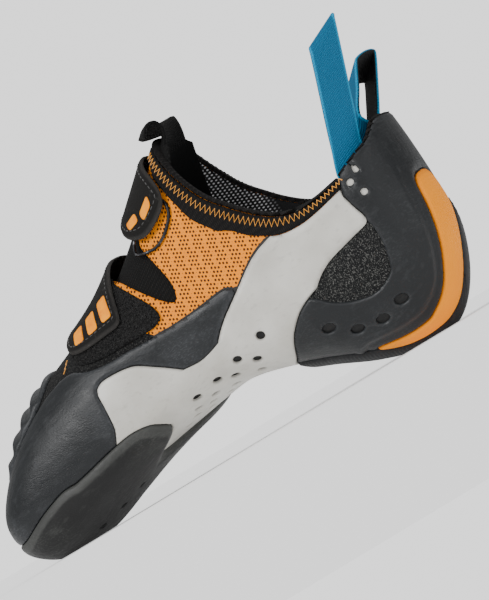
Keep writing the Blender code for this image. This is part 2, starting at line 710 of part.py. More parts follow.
# Rubber
patch("outsole_front", outsole_area, FITTING_GAP, sole_thickness(OUTSOLE_WALL), sole_rubber, floor=True)
patch("heel_sole", heel_sole, FITTING_GAP, sole_thickness(HEEL_SOLE_WALL), dark_rubber, floor=True)
shell("arch_band", arch_band, BAND_WALL, grey_rubber)
shell("toe_rand", toe_rand, RAND_WALL, dark_rubber)
shell("heel_cup", heel_cup, HEEL_CUP_WALL, dark_rubber)
shell("heel_strip", heel_strip, HEEL_STRIP_WALL, orange_rubber, floor=True)
patch("toe_patch", toe_patch, FITTING_GAP, ribbed(TOE_PATCH_WALL, TOE_RIB_RISE), dark_rubber)

# Cloth
shell("pile_patch", medial_only(pile_patch), PILE_WALL, black_pile)
strap("strap_upper", STRAP_UPPER_OUTLINE, STRAP_UPPER_ROOT, RING_WIRE + STRAP_CLEARANCE)
strap("strap_lower", STRAP_LOWER_OUTLINE, STRAP_LOWER_ROOT, PILE_WALL + STRAP_CLEARANCE)


def sheet(name, middle, wall, finish):
    """A bent sheet of even thickness around a grid of points on its middle surface."""
    middle = np.asarray(middle, float)
    rows, columns = middle.shape[:2]
    out = np.cross(np.gradient(middle, axis=0), np.gradient(middle, axis=1))
    out /= np.linalg.norm(out, axis=-1, keepdims=True)
    points = np.concatenate([(middle - out * wall / 2).reshape(-1, 3),
                             (middle + out * wall / 2).reshape(-1, 3)])
    half = rows * columns
    names = np.arange(half).reshape(rows, columns)
    faces = []
    for i in range(rows - 1):
        for j in range(columns - 1):
            ring = (names[i, j], names[i + 1, j], names[i + 1, j + 1], names[i, j + 1])
            faces += [ring, tuple(p + half for p in reversed(ring))]
    rim = [*names[0], *names[1:, -1], *names[-1, -2::-1], *names[-2:0:-1, 0]]
    for a, b in zip(rim, rim[1:] + rim[:1]):
        faces.append((a, b, b + half, a + half))
    return add_object(name, points, faces, finish)


def wire_loop(name, places, lift, wire, finish):
    """A closed wire ring that lies on the last, lift being its middle's height above it."""
    around = np.array([p[0] for p in places])
    girth = np.array([p[1] for p in places])
    middle = last_point(around, girth) + last_normal(around, girth) * lift
    forward = np.roll(middle, -1, axis=0) - np.roll(middle, 1, axis=0)
    forward /= np.linalg.norm(forward, axis=1, keepdims=True)
    out = last_normal(around, girth)
    across_wire = np.cross(forward, out)
    across_wire /= np.linalg.norm(across_wire, axis=1, keepdims=True)
    out = np.cross(across_wire, forward)
    count = len(places)
    points = []
    for k in range(RING_SIDES):
        angle = 2 * math.pi * k / RING_SIDES
        points.append(middle + wire / 2 * (math.cos(angle) * across_wire + math.sin(angle) * out))
    points = np.concatenate(points)
    faces = []
    for k in range(RING_SIDES):
        after = (k + 1) % RING_SIDES
        for i in range(count):
            j = (i + 1) % count
            faces.append((k * count + i, k * count + j, after * count + j, after * count + i))
    return add_object(name, points, faces, finish)


def girth_at_height(around, height):
    """Girth at which the last reaches a height above its widest line."""
    low = np.zeros_like(around)
    high = np.ones_like(around)
    for _ in range(HALVINGS):
        middle = (low + high) / 2
        under = last_point(around, middle)[:, 2] < height
        low = np.where(under, middle, low)
        high = np.where(under, high, middle)
    return (low + high) / 2


def collar_binding(name, around):
    """A knitted band over the collar's edge, down to the rubber where that is nearer."""
    turn = mirrored(around)
    drop = COLLAR_BAND * np.sqrt(1 + collar_slope(turn)**2)
    top = girth_at_height(around, collar_height(turn))
    bottom = girth_at_height(around, collar_height(turn) - drop)
    for _ in range(BINDING_TRIMS):
        in_rubber = arch_band(around, bottom) > -FITTING_GAP - FACET_SAG
        bottom = np.where(in_rubber, bottom + (top - bottom) * BINDING_TRIM, bottom)
    rows = []
    for share in np.linspace(0, 1, BINDING_ROWS):
        girth = bottom + share * (top - bottom)
        rows.append(last_point(around, girth)
                    + last_normal(around, girth) * (2 * FITTING_GAP + FACET_SAG + BINDING_WALL / 2))
    return sheet(name, rows, BINDING_WALL, black_knit)


def pull_loop(name, middle_around, height, lean, opening):
    """A tape loop sewn inside the collar: up from its outer leg, over the top, down its inner leg.

    lean is how far back and out the top stands, opening is the space between the two legs.
    """
    reach = np.linspace(-0.5, 0.5, LOOP_COLUMNS + 1) * LOOP_WIDTH
    centre = np.array([middle_around])
    step = SLOPE_STEP
    way = last_point(centre + step, LOOP_GIRTH) - last_point(centre - step, LOOP_GIRTH)
    pace = np.linalg.norm(way) / (2 * step)
    around = middle_around + reach / pace
    edge = collar_height(mirrored(np.mod(around, 6)))
    lining = -(UPPER_WALL + FITTING_GAP + FACET_SAG + LOOP_WALL / 2)
    rows = []
    for depth in (LOOP_ROOT, LOOP_ROOT / 2, -LOOP_RIM):
        girth = girth_at_height(around, edge - depth)
        rows.append(last_point(around, girth) + last_normal(around, girth) * lining)
    foot = rows[-1]
    inward = -last_normal(around, girth_at_height(around, edge))
    inward[:, 2] = 0
    inward /= np.linalg.norm(inward, axis=1, keepdims=True)
    width_way = foot[-1] - foot[0]
    width_way /= np.linalg.norm(width_way)
    straight = foot.mean(axis=0) + reach[:, None] * width_way
    in_way = inward.mean(axis=0)
    in_way /= np.linalg.norm(in_way)
    top = np.array([lean[0], lean[1], height])
    leg = []
    for share in LOOP_LEG_SHARES:
        base = foot * (1 - share) ** 2 + straight * (1 - (1 - share) ** 2)
        leg.append(base + top * share)
    rows += leg
    spread = opening + LOOP_WALL
    bend = []
    for angle in LOOP_TOP_ANGLES:
        a = math.radians(angle)
        bend.append(straight + top * LOOP_TOP_START + in_way * spread / 2 * (1 - math.cos(a))
                    + top * (1 - LOOP_TOP_START) * math.sin(a))
    rows += bend
    rows += [row + in_way * spread for row in reversed(leg)]
    narrow = LOOP_WALL + FITTING_GAP
    rows += [foot + inward * narrow]
    girth = girth_at_height(around, edge - LOOP_ROOT)
    rows.append(last_point(around, girth) + inward * (narrow - lining))
    return sheet(name, rows, LOOP_WALL, teal_webbing)


def around_at_height(girth, height):
    """Where the instep's ridge, or a line beside it, reaches a height."""
    low = np.full_like(girth, TONGUE_ROLL_REACH[0])
    high = np.full_like(girth, TONGUE_ROLL_REACH[1])
    for _ in range(HALVINGS):
        middle = (low + high) / 2
        above = last_point(middle, girth)[:, 2] > height
        low = np.where(above, middle, low)
        high = np.where(above, high, middle)
    return (low + high) / 2


def tongue_roll():
    """The tongue's top edge, rolled over outwards in one flap."""
    share = np.linspace(-1, 1, TONGUE_ROLL_COLUMNS + 1)
    girth = 1 - (1 - TONGUE_ROLL_END) * np.abs(share)
    medial = around_at_height(girth, TONGUE_TOP)
    around = np.where(share < 0, medial, 6 - medial)
    foot = last_point(around, girth)
    out = last_normal(around, girth)
    along = np.gradient(foot, axis=0)
    up = np.cross(along, out)
    up /= np.linalg.norm(up, axis=1, keepdims=True)
    up *= np.sign(up[:, 2:])
    rows = []
    for forth, rise in TONGUE_ROLL:
        rows.append(foot + out * (TONGUE_SEAT - TONGUE_WALL / 2 + forth * TONGUE_ROLL_HEIGHT)
                    + up * (FITTING_GAP + FACET_SAG + rise * TONGUE_ROLL_HEIGHT))
    return sheet("tongue_roll", rows, TONGUE_WALL, black_knit)


# Ring, loops, the tongue's roll and the collar's binding
wire_loop("strap_ring", RING_PLACES, FITTING_GAP + RING_WIRE / 2, RING_WIRE, dark_wire)
pull_loop("pull_loop_medial", MEDIAL_LOOP_AROUND, MEDIAL_LOOP_HEIGHT, MEDIAL_LOOP_LEAN,
          MEDIAL_LOOP_OPENING)
pull_loop("pull_loop_lateral", LATERAL_LOOP_AROUND, LATERAL_LOOP_HEIGHT, LATERAL_LOOP_LEAN,
          LATERAL_LOOP_OPENING)
tongue_roll()
binding_turns = np.linspace(*COLLAR_BAND_ENDS, BINDING_COLUMNS)
collar_binding("collar_binding_medial", binding_turns)
collar_binding("collar_binding_lateral", 6 - binding_turns)


def stand_on_origin():
    """Move the whole shoe so that the middle of its box stands on the origin."""
    solids = [made for made in bpy.data.objects if made.type == "MESH"]
    corners = np.array([tuple(point.co) for made in solids for point in made.data.vertices])
    low = corners.min(axis=0)
    high = corners.max(axis=0)
    shift = (-(low[0] + high[0]) / 2, -(low[1] + high[1]) / 2, -low[2])
    for made in solids:
        for point in made.data.vertices:
            point.co = tuple(a + b for a, b in zip(point.co, shift))


stand_on_origin()
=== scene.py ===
import math

import bpy
import numpy as np
from mathutils import Matrix, Vector


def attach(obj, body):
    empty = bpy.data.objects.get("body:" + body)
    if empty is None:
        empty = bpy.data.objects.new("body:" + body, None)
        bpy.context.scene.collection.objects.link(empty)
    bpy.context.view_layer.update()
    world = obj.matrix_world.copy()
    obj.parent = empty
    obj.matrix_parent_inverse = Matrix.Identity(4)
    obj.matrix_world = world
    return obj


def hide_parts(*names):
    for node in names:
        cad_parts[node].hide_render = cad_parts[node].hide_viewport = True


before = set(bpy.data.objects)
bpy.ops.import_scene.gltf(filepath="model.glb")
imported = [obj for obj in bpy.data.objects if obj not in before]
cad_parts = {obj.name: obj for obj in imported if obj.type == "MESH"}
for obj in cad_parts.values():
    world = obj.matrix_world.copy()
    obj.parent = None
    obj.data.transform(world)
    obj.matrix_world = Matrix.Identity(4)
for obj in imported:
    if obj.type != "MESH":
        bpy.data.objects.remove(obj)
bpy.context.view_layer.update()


# Camera
# The photograph looks up at the medial side from below with the heel high. The camera keeps
# its turn and roll, and stops just above the floor.
CAMERA_TURN = 20.0
CAMERA_RISE = -2.4
CAMERA_ROLL = 31.0
CAMERA_DISTANCE = 1.200
CAMERA_VIEW = 0.262          # height of the frame at the shoe
CAMERA_TARGET = Vector((0.018, 0.0, 0.056))


def make_camera():
    """The camera at the photograph's angle, rolled, with the heel up on the right."""
    turn = math.radians(CAMERA_TURN)
    rise = math.radians(CAMERA_RISE)
    roll = math.radians(CAMERA_ROLL)
    back = Vector((math.sin(turn) * math.cos(rise), -math.cos(turn) * math.cos(rise), math.sin(rise)))
    level = Vector((math.cos(turn), math.sin(turn), 0))
    upright = back.cross(level)
    across = math.cos(roll) * level - math.sin(roll) * upright
    up = math.sin(roll) * level + math.cos(roll) * upright
    lens = bpy.data.cameras.new("photo_view")
    lens.lens = lens.sensor_width * CAMERA_DISTANCE / CAMERA_VIEW
    lens.clip_end = 100
    camera = bpy.data.objects.new("photo_view", lens)
    camera.matrix_world = Matrix.Translation(CAMERA_TARGET + back * CAMERA_DISTANCE) @ Matrix(
        (across, up, back)).transposed().to_4x4()
    bpy.context.scene.collection.objects.link(camera)
    bpy.context.scene.camera = camera


make_camera()


# Upper
# A lasted wall of perforated orange microfibre with a black mesh lining, whose pale dots are painted light
# seen through the mesh, pulled over a curved, downturned last. All the glued and sewn pieces follow its
# surface.
LAST_LENGTH = 0.2410
BALL_WIDTH = 0.0860
HEEL_WIDTH = 0.0560
TOE_BOX_HEIGHT = 0.0600
INSTEP_HEIGHT = 0.1220
ANKLE_HEIGHT = 0.1520       # ridge of the last above the collar, where the shoe is open
HEEL_BULGE_HEIGHT = 0.0480  # height of the heel's widest line
ARCH_HEIGHT = 0.0210        # lift of the sole under the arch
HEEL_HEIGHT = 0.0920        # top of the upper at the back
# Ends of the last's middle line, as shares of its length from the toe
SPINE_TOE = 0.190
SPINE_HEEL = 0.885
TIP_SHIFT = -0.170          # the tip lies to the medial side, a share of the ball width
TOE_SQUARE_MEDIAL = 2.10
TOE_SQUARE_LATERAL = 1.68
HEEL_SQUARE = 2.00

# Lengths that one step of around or girth covers, for distances along the surface
HEEL_ARC = 0.75 * HEEL_WIDTH
SIDE_ARC = (SPINE_HEEL - SPINE_TOE) * LAST_LENGTH
TOE_ARC = 0.70 * BALL_WIDTH
GIRTH_ARC = 0.60 * BALL_WIDTH

# Plan of the last: along (share of length), width that the row follows, then shares of that width
PLAN = (
    # along, width, axis, medial, lateral
    (SPINE_TOE, BALL_WIDTH, -0.05, 0.430, 0.385),
    (0.300, BALL_WIDTH, 0.00, 0.470, 0.460),
    (0.400, BALL_WIDTH, 0.03, 0.450, 0.470),
    (0.520, BALL_WIDTH, 0.03, 0.395, 0.400),
    (0.640, HEEL_WIDTH, 0.03, 0.540, 0.505),
    (0.760, HEEL_WIDTH, 0.015, 0.515, 0.470),
    (SPINE_HEEL, HEEL_WIDTH, 0.00, 0.475, 0.445),
)
# Side of the last: underside in arch heights, then the widest line and the ridge, each with its height
SIDE = (
    # along, under, widest, its height, ridge, its height
    (0.000, 0.24, 0.36, TOE_BOX_HEIGHT, 0.70, TOE_BOX_HEIGHT),
    (0.065, -0.12, 0.40, TOE_BOX_HEIGHT, 0.88, TOE_BOX_HEIGHT),
    (0.110, -0.05, 0.445, TOE_BOX_HEIGHT, 1.02, TOE_BOX_HEIGHT),
    (0.190, 0.30, 0.52, TOE_BOX_HEIGHT, 1.20, TOE_BOX_HEIGHT),
    (0.280, 0.68, 0.60, TOE_BOX_HEIGHT, 0.665, INSTEP_HEIGHT),
    (0.360, 0.92, 0.320, INSTEP_HEIGHT, 0.740, INSTEP_HEIGHT),
    (0.440, 1.06, 0.352, INSTEP_HEIGHT, 0.850, INSTEP_HEIGHT),
    (0.520, 1.12, 0.373, INSTEP_HEIGHT, 0.980, INSTEP_HEIGHT),
    (0.600, 0.92, 0.384, INSTEP_HEIGHT, 1.110, INSTEP_HEIGHT),
    (0.680, 0.58, 0.950, HEEL_BULGE_HEIGHT, 0.995, ANKLE_HEIGHT),
    (0.760, 0.18, 0.920, HEEL_BULGE_HEIGHT, 1.010, ANKLE_HEIGHT),
    (0.830, -0.04, 0.935, HEEL_BULGE_HEIGHT, 1.018, ANKLE_HEIGHT),
    (0.900, 0.00, 0.990, HEEL_BULGE_HEIGHT, 1.018, ANKLE_HEIGHT),
    (0.960, 0.30, 1.040, HEEL_BULGE_HEIGHT, 1.000, ANKLE_HEIGHT),
    (1.000, 0.70, 1.080, HEEL_BULGE_HEIGHT, 0.980, ANKLE_HEIGHT),
)
# How square the section is: 2 is round, 3 has flat faces with tight corners
SQUARENESS = (
    # along, under, above
    (0.00, 2.6, 2.2),
    (0.19, 3.0, 2.2),
    (0.36, 2.8, 2.3),
    (0.52, 2.2, 2.5),
    (0.62, 2.1, 2.7),
    (0.72, 2.0, 2.6),
    (0.88, 2.0, 2.2),
    (1.00, 2.0, 2.2),
)

# Top edge of the upper, with heights as shares of the heel height
COLLAR = (
    # around, height
    (0.00, 1.010),
    (0.30, 1.005),
    (0.52, 0.940),
    (0.75, 0.900),
    (1.00, 0.850),
    (1.08, 0.830),
    (1.13, 0.835),
    (1.18, 0.865),
    (1.23, 0.930),
    (1.28, 1.020),
    (1.34, 1.160),
    (1.38, 1.320),
    (1.41, 1.500),
    (1.44, 1.700),
)
LASTING_GIRTH = -0.70
THROAT_MEDIAL = (
    (1.34, 1.05), (1.37, 0.90), (1.44, 0.78), (1.52, 0.66), (1.56, 0.55), (1.55, 0.47),
    (1.53, 0.36), (1.515, 0.27), (1.525, 0.215), (1.55, 0.25), (1.58, 0.32), (1.62, 0.44),
    (1.66, 0.60), (1.70, 0.80), (1.73, 1.05),
)
THROAT_LATERAL = (
    (1.34, 1.05), (1.37, 0.90), (1.44, 0.78), (1.52, 0.66), (1.60, 0.64), (1.68, 0.74),
    (1.73, 1.05),
)
SHOE_PLACE = np.array([-0.0027, -0.0001, -0.0012])     # from the last's frame to the shoe's
FITTING_GAP = 0.0003
UPPER_WALL = 0.0018
SOLE_SEAT = 0.0043
SKIN_CELL = 0.0013           # size of a cell of the fine grid
EDGE_ROUND = 0.0012          # how wide a piece's edge is rounded
EDGE_SHARE = 0.45            # thickness left at the very edge, a share of the wall
CORNER_ROUND = 0.0035        # how far from its corner an outline starts to turn
CORNER_SHARE = 0.25          # most that a corner takes of the edges beside it
ROW_DENSITY = 1.35           # rows of the grid to a cell
ON_SPINE = 0.9999            # girth from which a point counts as on the spine
SLOPE_STEP = 0.01


def curve(rows, value):
    """A smooth curve through (place, value) rows of a table."""
    place = np.array([row[0] for row in rows])
    height = np.array([value(row) for row in rows])
    step = np.diff(place)
    rise = np.diff(height) / step
    slope = np.empty_like(height)
    slope[1:-1] = (rise[:-1] * step[1:] + rise[1:] * step[:-1]) / (step[1:] + step[:-1])
    slope[0] = rise[0]
    slope[-1] = rise[-1]

    def read(at):
        at = np.clip(np.asarray(at, float), place[0], place[-1])
        k = np.clip(np.searchsorted(place, at, side="right") - 1, 0, len(place) - 2)
        t = (at - place[k]) / step[k]
        return ((2 * t**3 - 3 * t**2 + 1) * height[k] + (t**3 - 2 * t**2 + t) * step[k] * slope[k]
                + (3 * t**2 - 2 * t**3) * height[k + 1] + (t**3 - t**2) * step[k] * slope[k + 1])
    return read


plan_axis = curve(PLAN, lambda row: row[1] * row[2])
plan_medial = curve(PLAN, lambda row: row[1] * row[3])
plan_lateral = curve(PLAN, lambda row: row[1] * row[4])
side_under = curve(SIDE, lambda row: row[1] * ARCH_HEIGHT + SOLE_SEAT)
side_widest = curve(SIDE, lambda row: row[2] * row[3])
side_ridge = curve(SIDE, lambda row: row[4] * row[5])
square_under = curve(SQUARENESS, lambda row: row[1])
square_above = curve(SQUARENESS, lambda row: row[2])
collar_height = curve(COLLAR, lambda row: row[1] * HEEL_HEIGHT)


def collar_slope(turn):
    """Rise of the collar's edge over the distance along it."""
    return (collar_height(turn + SLOPE_STEP) - collar_height(turn - SLOPE_STEP)) / (2 * SLOPE_STEP * SIDE_ARC)


def squircle(angle, square):
    """Cosine and sine of a turn around a circle that is made squarer."""
    c = np.abs(np.cos(angle))
    s = np.abs(np.sin(angle))
    reach = (c**square + s**square) ** (-1 / square)
    return c * reach, s * reach


def last_point(around, girth):
    """Point on the last at a place given by around and girth."""
    around = np.mod(around, 6.0)
    medial = around <= 3
    turn = np.where(medial, around, 6 - around)
    in_heel = turn < 1
    in_toe = turn > 2
    along = SPINE_HEEL + np.clip(turn - 1, 0, 1) * (SPINE_TOE - SPINE_HEEL)
    angle = np.where(in_heel, turn, np.where(in_toe, 3 - turn, 1.0)) * math.pi / 2
    square = np.where(in_toe, np.where(medial, TOE_SQUARE_MEDIAL, TOE_SQUARE_LATERAL), HEEL_SQUARE)
    forth, out = squircle(angle, square)
    reach = np.where(in_heel, 1 - SPINE_HEEL, np.where(in_toe, -SPINE_TOE, 0.0)) * LAST_LENGTH
    half_width = np.where(medial, -plan_medial(along), plan_lateral(along))
    edge_x = reach * forth
    edge_y = half_width * out + np.where(in_toe, TIP_SHIFT * BALL_WIDTH * forth**2, 0.0)
    square = np.where(girth < 0, square_under(along), square_above(along))
    share, rise = squircle(girth * math.pi / 2, square)
    x = along * LAST_LENGTH + share * edge_x
    y = plan_axis(along) + share * edge_y
    here = x / LAST_LENGTH
    widest = side_widest(here)
    goal = np.where(girth < 0, side_under(here), side_ridge(here))
    return np.stack([x - LAST_LENGTH / 2, y, widest + (goal - widest) * rise], axis=-1)


def last_normal(around, girth):
    """Direction straight out of the last."""
    step = 0.001
    girth = np.clip(girth, -1 + 2 * step, 1 - 2 * step)
    across = last_point(around + step, girth) - last_point(around - step, girth)
    up = last_point(around, girth + step) - last_point(around, girth - step)
    out = np.cross(up, across)
    return out / np.linalg.norm(out, axis=-1, keepdims=True)


def on_shoe(around, girth, lift):
    """Points at a height over the last, in the shoe's own place."""
    return last_point(around, girth) + last_normal(around, girth) * lift + SHOE_PLACE


def halved(low, high, is_low, rounds=30):
    """The place between two where is_low(place) turns from true to false."""
    for _ in range(rounds):
        middle = (low + high) / 2
        under = is_low(middle)
        low = np.where(under, middle, low)
        high = np.where(under, high, middle)
    return (low + high) / 2


def flat_place(around, girth):
    """Place on the last laid out flat, in metres, so that distances can be measured."""
    turns = np.interp(around, [-1, 0, 1, 2, 3, 4], np.cumsum(
        [-HEEL_ARC, HEEL_ARC, HEEL_ARC, SIDE_ARC, TOE_ARC, TOE_ARC]))
    return turns, np.asarray(girth) * GIRTH_ARC


def inside(outline, around, girth):
    """Distance from the edge of an outline, positive inside it."""
    px, py = flat_place(around, girth)
    ox, oy = flat_place(np.array([p[0] for p in outline]), np.array([p[1] for p in outline]))
    nearest = np.full(px.shape, np.inf)
    crossing = np.zeros(px.shape, int)
    for k in range(len(ox)):
        ax, ay, bx, by = ox[k - 1], oy[k - 1], ox[k], oy[k]
        dx, dy = bx - ax, by - ay
        t = np.clip(((px - ax) * dx + (py - ay) * dy) / (dx * dx + dy * dy), 0, 1)
        nearest = np.minimum(nearest, np.hypot(px - ax - t * dx, py - ay - t * dy))
        spans = (ay > py) != (by > py)
        side = (bx - ax) * (py - ay) / np.where(by == ay, 1, by - ay) + ax
        crossing += spans & (px < side)
    return np.where(crossing % 2 == 1, nearest, -nearest)


def soft_corners(points, radius=CORNER_ROUND):
    """An outline with rounded corners. Those past the last's own lines stay as they are."""
    for _ in range(2):
        flat = [np.array(flat_place(*point)) for point in points]
        made = []
        for k, point in enumerate(points):
            if abs(point[1]) >= 1 or abs(point[0]) >= 3:
                made.append(point)
                continue
            for other in (k - 1, (k + 1) % len(points)):
                length = np.linalg.norm(flat[other] - flat[k])
                cut = min(CORNER_SHARE, radius / length)
                made.append(tuple(here + (there - here) * cut for here, there in zip(point, points[other])))
        points = made
    return points


def mirrored(around):
    """The same place on the medial side, so that both sides share one outline."""
    return np.minimum(around, 6 - around)


def signed(around):
    """Around, counted from the heel's middle: negative on the lateral side."""
    return np.where(around > 3, around - 6, around)


def last_grid(cell):
    """The last as a fine welded triangle grid: around, girth and triangles."""
    heel = max(4, int(HEEL_ARC / cell))
    side = int(SIDE_ARC / cell)
    toe = max(4, int(TOE_ARC / cell))
    half = np.concatenate([np.arange(heel) / heel, 1 + np.arange(side) / side, 2 + np.arange(toe) / toe])
    columns = np.concatenate([half, [3.0], 6 - half[:0:-1]])
    rows = np.linspace(-1, 1, 2 * int(ROW_DENSITY * GIRTH_ARC / cell) + 1)
    around, girth = np.meshgrid(columns, rows, indexing="ij")
    count, height = around.shape
    names = np.arange(count * height).reshape(count, height)
    spine = np.rint(np.clip(np.minimum(columns, 6 - columns) - 1, 0, 1) * side).astype(int)
    for row in (0, height - 1):
        _, first = np.unique(spine, return_index=True)
        names[:, row] = names[first[spine], row]
    a = names[:, :-1]
    b = np.roll(names, -1, axis=0)[:, :-1]
    c = np.roll(names, -1, axis=0)[:, 1:]
    d = names[:, 1:]
    faces = np.concatenate([np.stack([a, c, b], -1).reshape(-1, 3), np.stack([a, d, c], -1).reshape(-1, 3)])
    real = (faces[:, 0] != faces[:, 1]) & (faces[:, 1] != faces[:, 2]) & (faces[:, 2] != faces[:, 0])
    return around.ravel(), girth.ravel(), faces[real]


def main_body(faces, count):
    """The faces of the largest connected group."""
    label = np.arange(count)
    while True:
        before = label.copy()
        low = label[faces].min(axis=1)
        np.minimum.at(label, faces.ravel(), np.repeat(low, 3))
        label = label[label]
        if (label == before).all():
            break
    group = label[faces[:, 0]]
    names, sizes = np.unique(group, return_counts=True)
    return faces[group == names[sizes.argmax()]]


def cut_out(value, faces):
    """The part of the grid where value is positive, with new points on the edges it crosses."""
    within = value >= 0
    count = within[faces].sum(axis=1)
    mixed = faces[(count == 1) | (count == 2)]
    state = within[mixed]
    lone = state.sum(axis=1) == 1
    odd = np.where(lone, state.argmax(axis=1), state.argmin(axis=1))
    row = np.arange(len(mixed))
    a = mixed[row, odd]
    b = mixed[row, (odd + 1) % 3]
    c = mixed[row, (odd + 2) % 3]
    pairs = np.sort(np.concatenate([np.stack([a, b], 1), np.stack([a, c], 1)]), axis=1)
    edges, place = np.unique(pairs, axis=0, return_inverse=True)
    place = place.ravel() + len(value)
    ab = place[:len(mixed)]
    ac = place[len(mixed):]
    parts = [faces[count == 3],
             np.stack([a, ab, ac], 1)[lone],
             np.stack([ab, b, c], 1)[~lone],
             np.stack([ab, c, ac], 1)[~lone]]
    return np.concatenate(parts), edges


def on_same_side(near, around, on_spine):
    """Around of a point, named on the side of a near one: the spine's points are on both sides."""
    on_side = np.where(near > 3, 6 - mirrored(around), mirrored(around))
    at_end = (mirrored(near) < 1) | (mirrored(near) > 2)
    moved = np.where(on_spine, np.where(at_end, near, on_side), around)
    return moved + 6 * np.rint((near - moved) / 6)


def new_object(name, points, edges=(), faces=()):
    """A plain mesh object in the scene."""
    mesh = bpy.data.meshes.new(name)
    mesh.from_pydata(np.asarray(points).tolist(), np.asarray(edges).tolist(), np.asarray(faces).tolist())
    made = bpy.data.objects.new(name, mesh)
    bpy.context.scene.collection.objects.link(made)
    return made


def make_piece(name, points, faces, finish, uv, **layers):
    """A mesh object with its finish, its flat map and its named values."""
    made = new_object(name, points, faces=faces)
    mesh = made.data
    mesh.materials.append(finish)
    mesh.shade_smooth()
    mesh.set_sharp_from_angle(angle=math.radians(50))
    for layer, values in layers.items():
        mesh.attributes.new(layer, "FLOAT", "POINT").data.foreach_set("value", values.astype(np.float32))
    corners = np.empty(len(mesh.loops), np.int32)
    mesh.loops.foreach_get("vertex_index", corners)
    mesh.uv_layers.new(name="flat").data.foreach_set("uv", uv[corners].astype(np.float32).ravel())
    return made


def sheet_on_last(within, cell, whole=False):
    """The grid inside a region: around, girth, distance from its edge, faces and rim."""
    around, girth, faces = last_grid(cell)
    value = within(around, girth)
    faces, edges = cut_out(value, faces)
    if not whole:
        faces = main_body(faces, len(value) + len(edges))
    first, second = edges[:, 0], edges[:, 1]
    a = on_same_side(around[second], around[first], np.abs(girth[first]) > ON_SPINE)
    b = on_same_side(a, around[second], np.abs(girth[second]) > ON_SPINE)
    near = np.zeros(len(edges))
    far = np.ones(len(edges))
    for _ in range(7):
        middle = (near + far) / 2
        here = within(np.mod(a + (b - a) * middle, 6), girth[first] + (girth[second] - girth[first]) * middle)
        same = here * value[first] > 0
        near = np.where(same, middle, near)
        far = np.where(same, far, middle)
    share = np.clip((near + far) / 2, 0.02, 0.98)
    around = np.concatenate([around, np.mod(a + (b - a) * share, 6)])
    girth = np.concatenate([girth, girth[first] + (girth[second] - girth[first]) * share])
    edge = np.concatenate([np.maximum(value, 0), np.zeros(len(edges))])
    used, faces = np.unique(faces, return_inverse=True)
    faces = faces.reshape(-1, 3)
    ways = np.concatenate([faces[:, [0, 1]], faces[:, [1, 2]], faces[:, [2, 0]]])
    _, place, times = np.unique(np.sort(ways, axis=1), axis=0, return_inverse=True, return_counts=True)
    return around[used], girth[used], edge[used], faces, ways[times[place.ravel()] == 1]


def skin(name, within, low, wall, finish, cell=SKIN_CELL, rounded=EDGE_ROUND, relief=None, floor=False,
         whole=False):
    """A sheet over the part of the last where within(around, girth) is positive.

    low is the height of its inner face above the last. Its outer edges are rounded, and relief
    gives what its outer face rises or sinks. whole keeps every separate part of it.
    """
    around, girth, edge, faces, rim = sheet_on_last(within, cell, whole)
    point = last_point(around, girth)
    normal = last_normal(around, girth)
    base = np.full(len(point), low)
    full = wall(edge, around, girth) if callable(wall) else np.full(len(point), wall)
    turn = np.clip(1 - edge / rounded, 0, 1)
    top = base + full * (EDGE_SHARE + (1 - EDGE_SHARE) * np.sqrt(1 - turn**2))
    if relief is not None:
        top = top + relief(point, around, girth, edge)
    inner = point + normal * base[:, None] + SHOE_PLACE
    outer = point + normal * top[:, None] + SHOE_PLACE
    if floor:
        outer[:, 2] = np.maximum(outer[:, 2], 0.0)
    half = len(point)
    solid = np.concatenate([faces[:, [0, 2, 1]], faces + half,
                            np.stack([rim[:, 0], rim[:, 1], rim[:, 1] + half], 1),
                            np.stack([rim[:, 0], rim[:, 1] + half, rim[:, 0] + half], 1)])
    flat = np.stack(flat_place(around, girth), 1)
    return make_piece(name, np.concatenate([inner, outer]), solid, finish, np.concatenate([flat, flat]),
                      edge=np.concatenate([edge, edge]))


def rgb(red, green, blue):
    """A colour from its screen values, as the shader wants it."""
    made = [c / 255 / 12.92 if c < 11 else ((c / 255 + 0.055) / 1.055) ** 2.4 for c in (red, green, blue)]
    return (*made, 1.0)


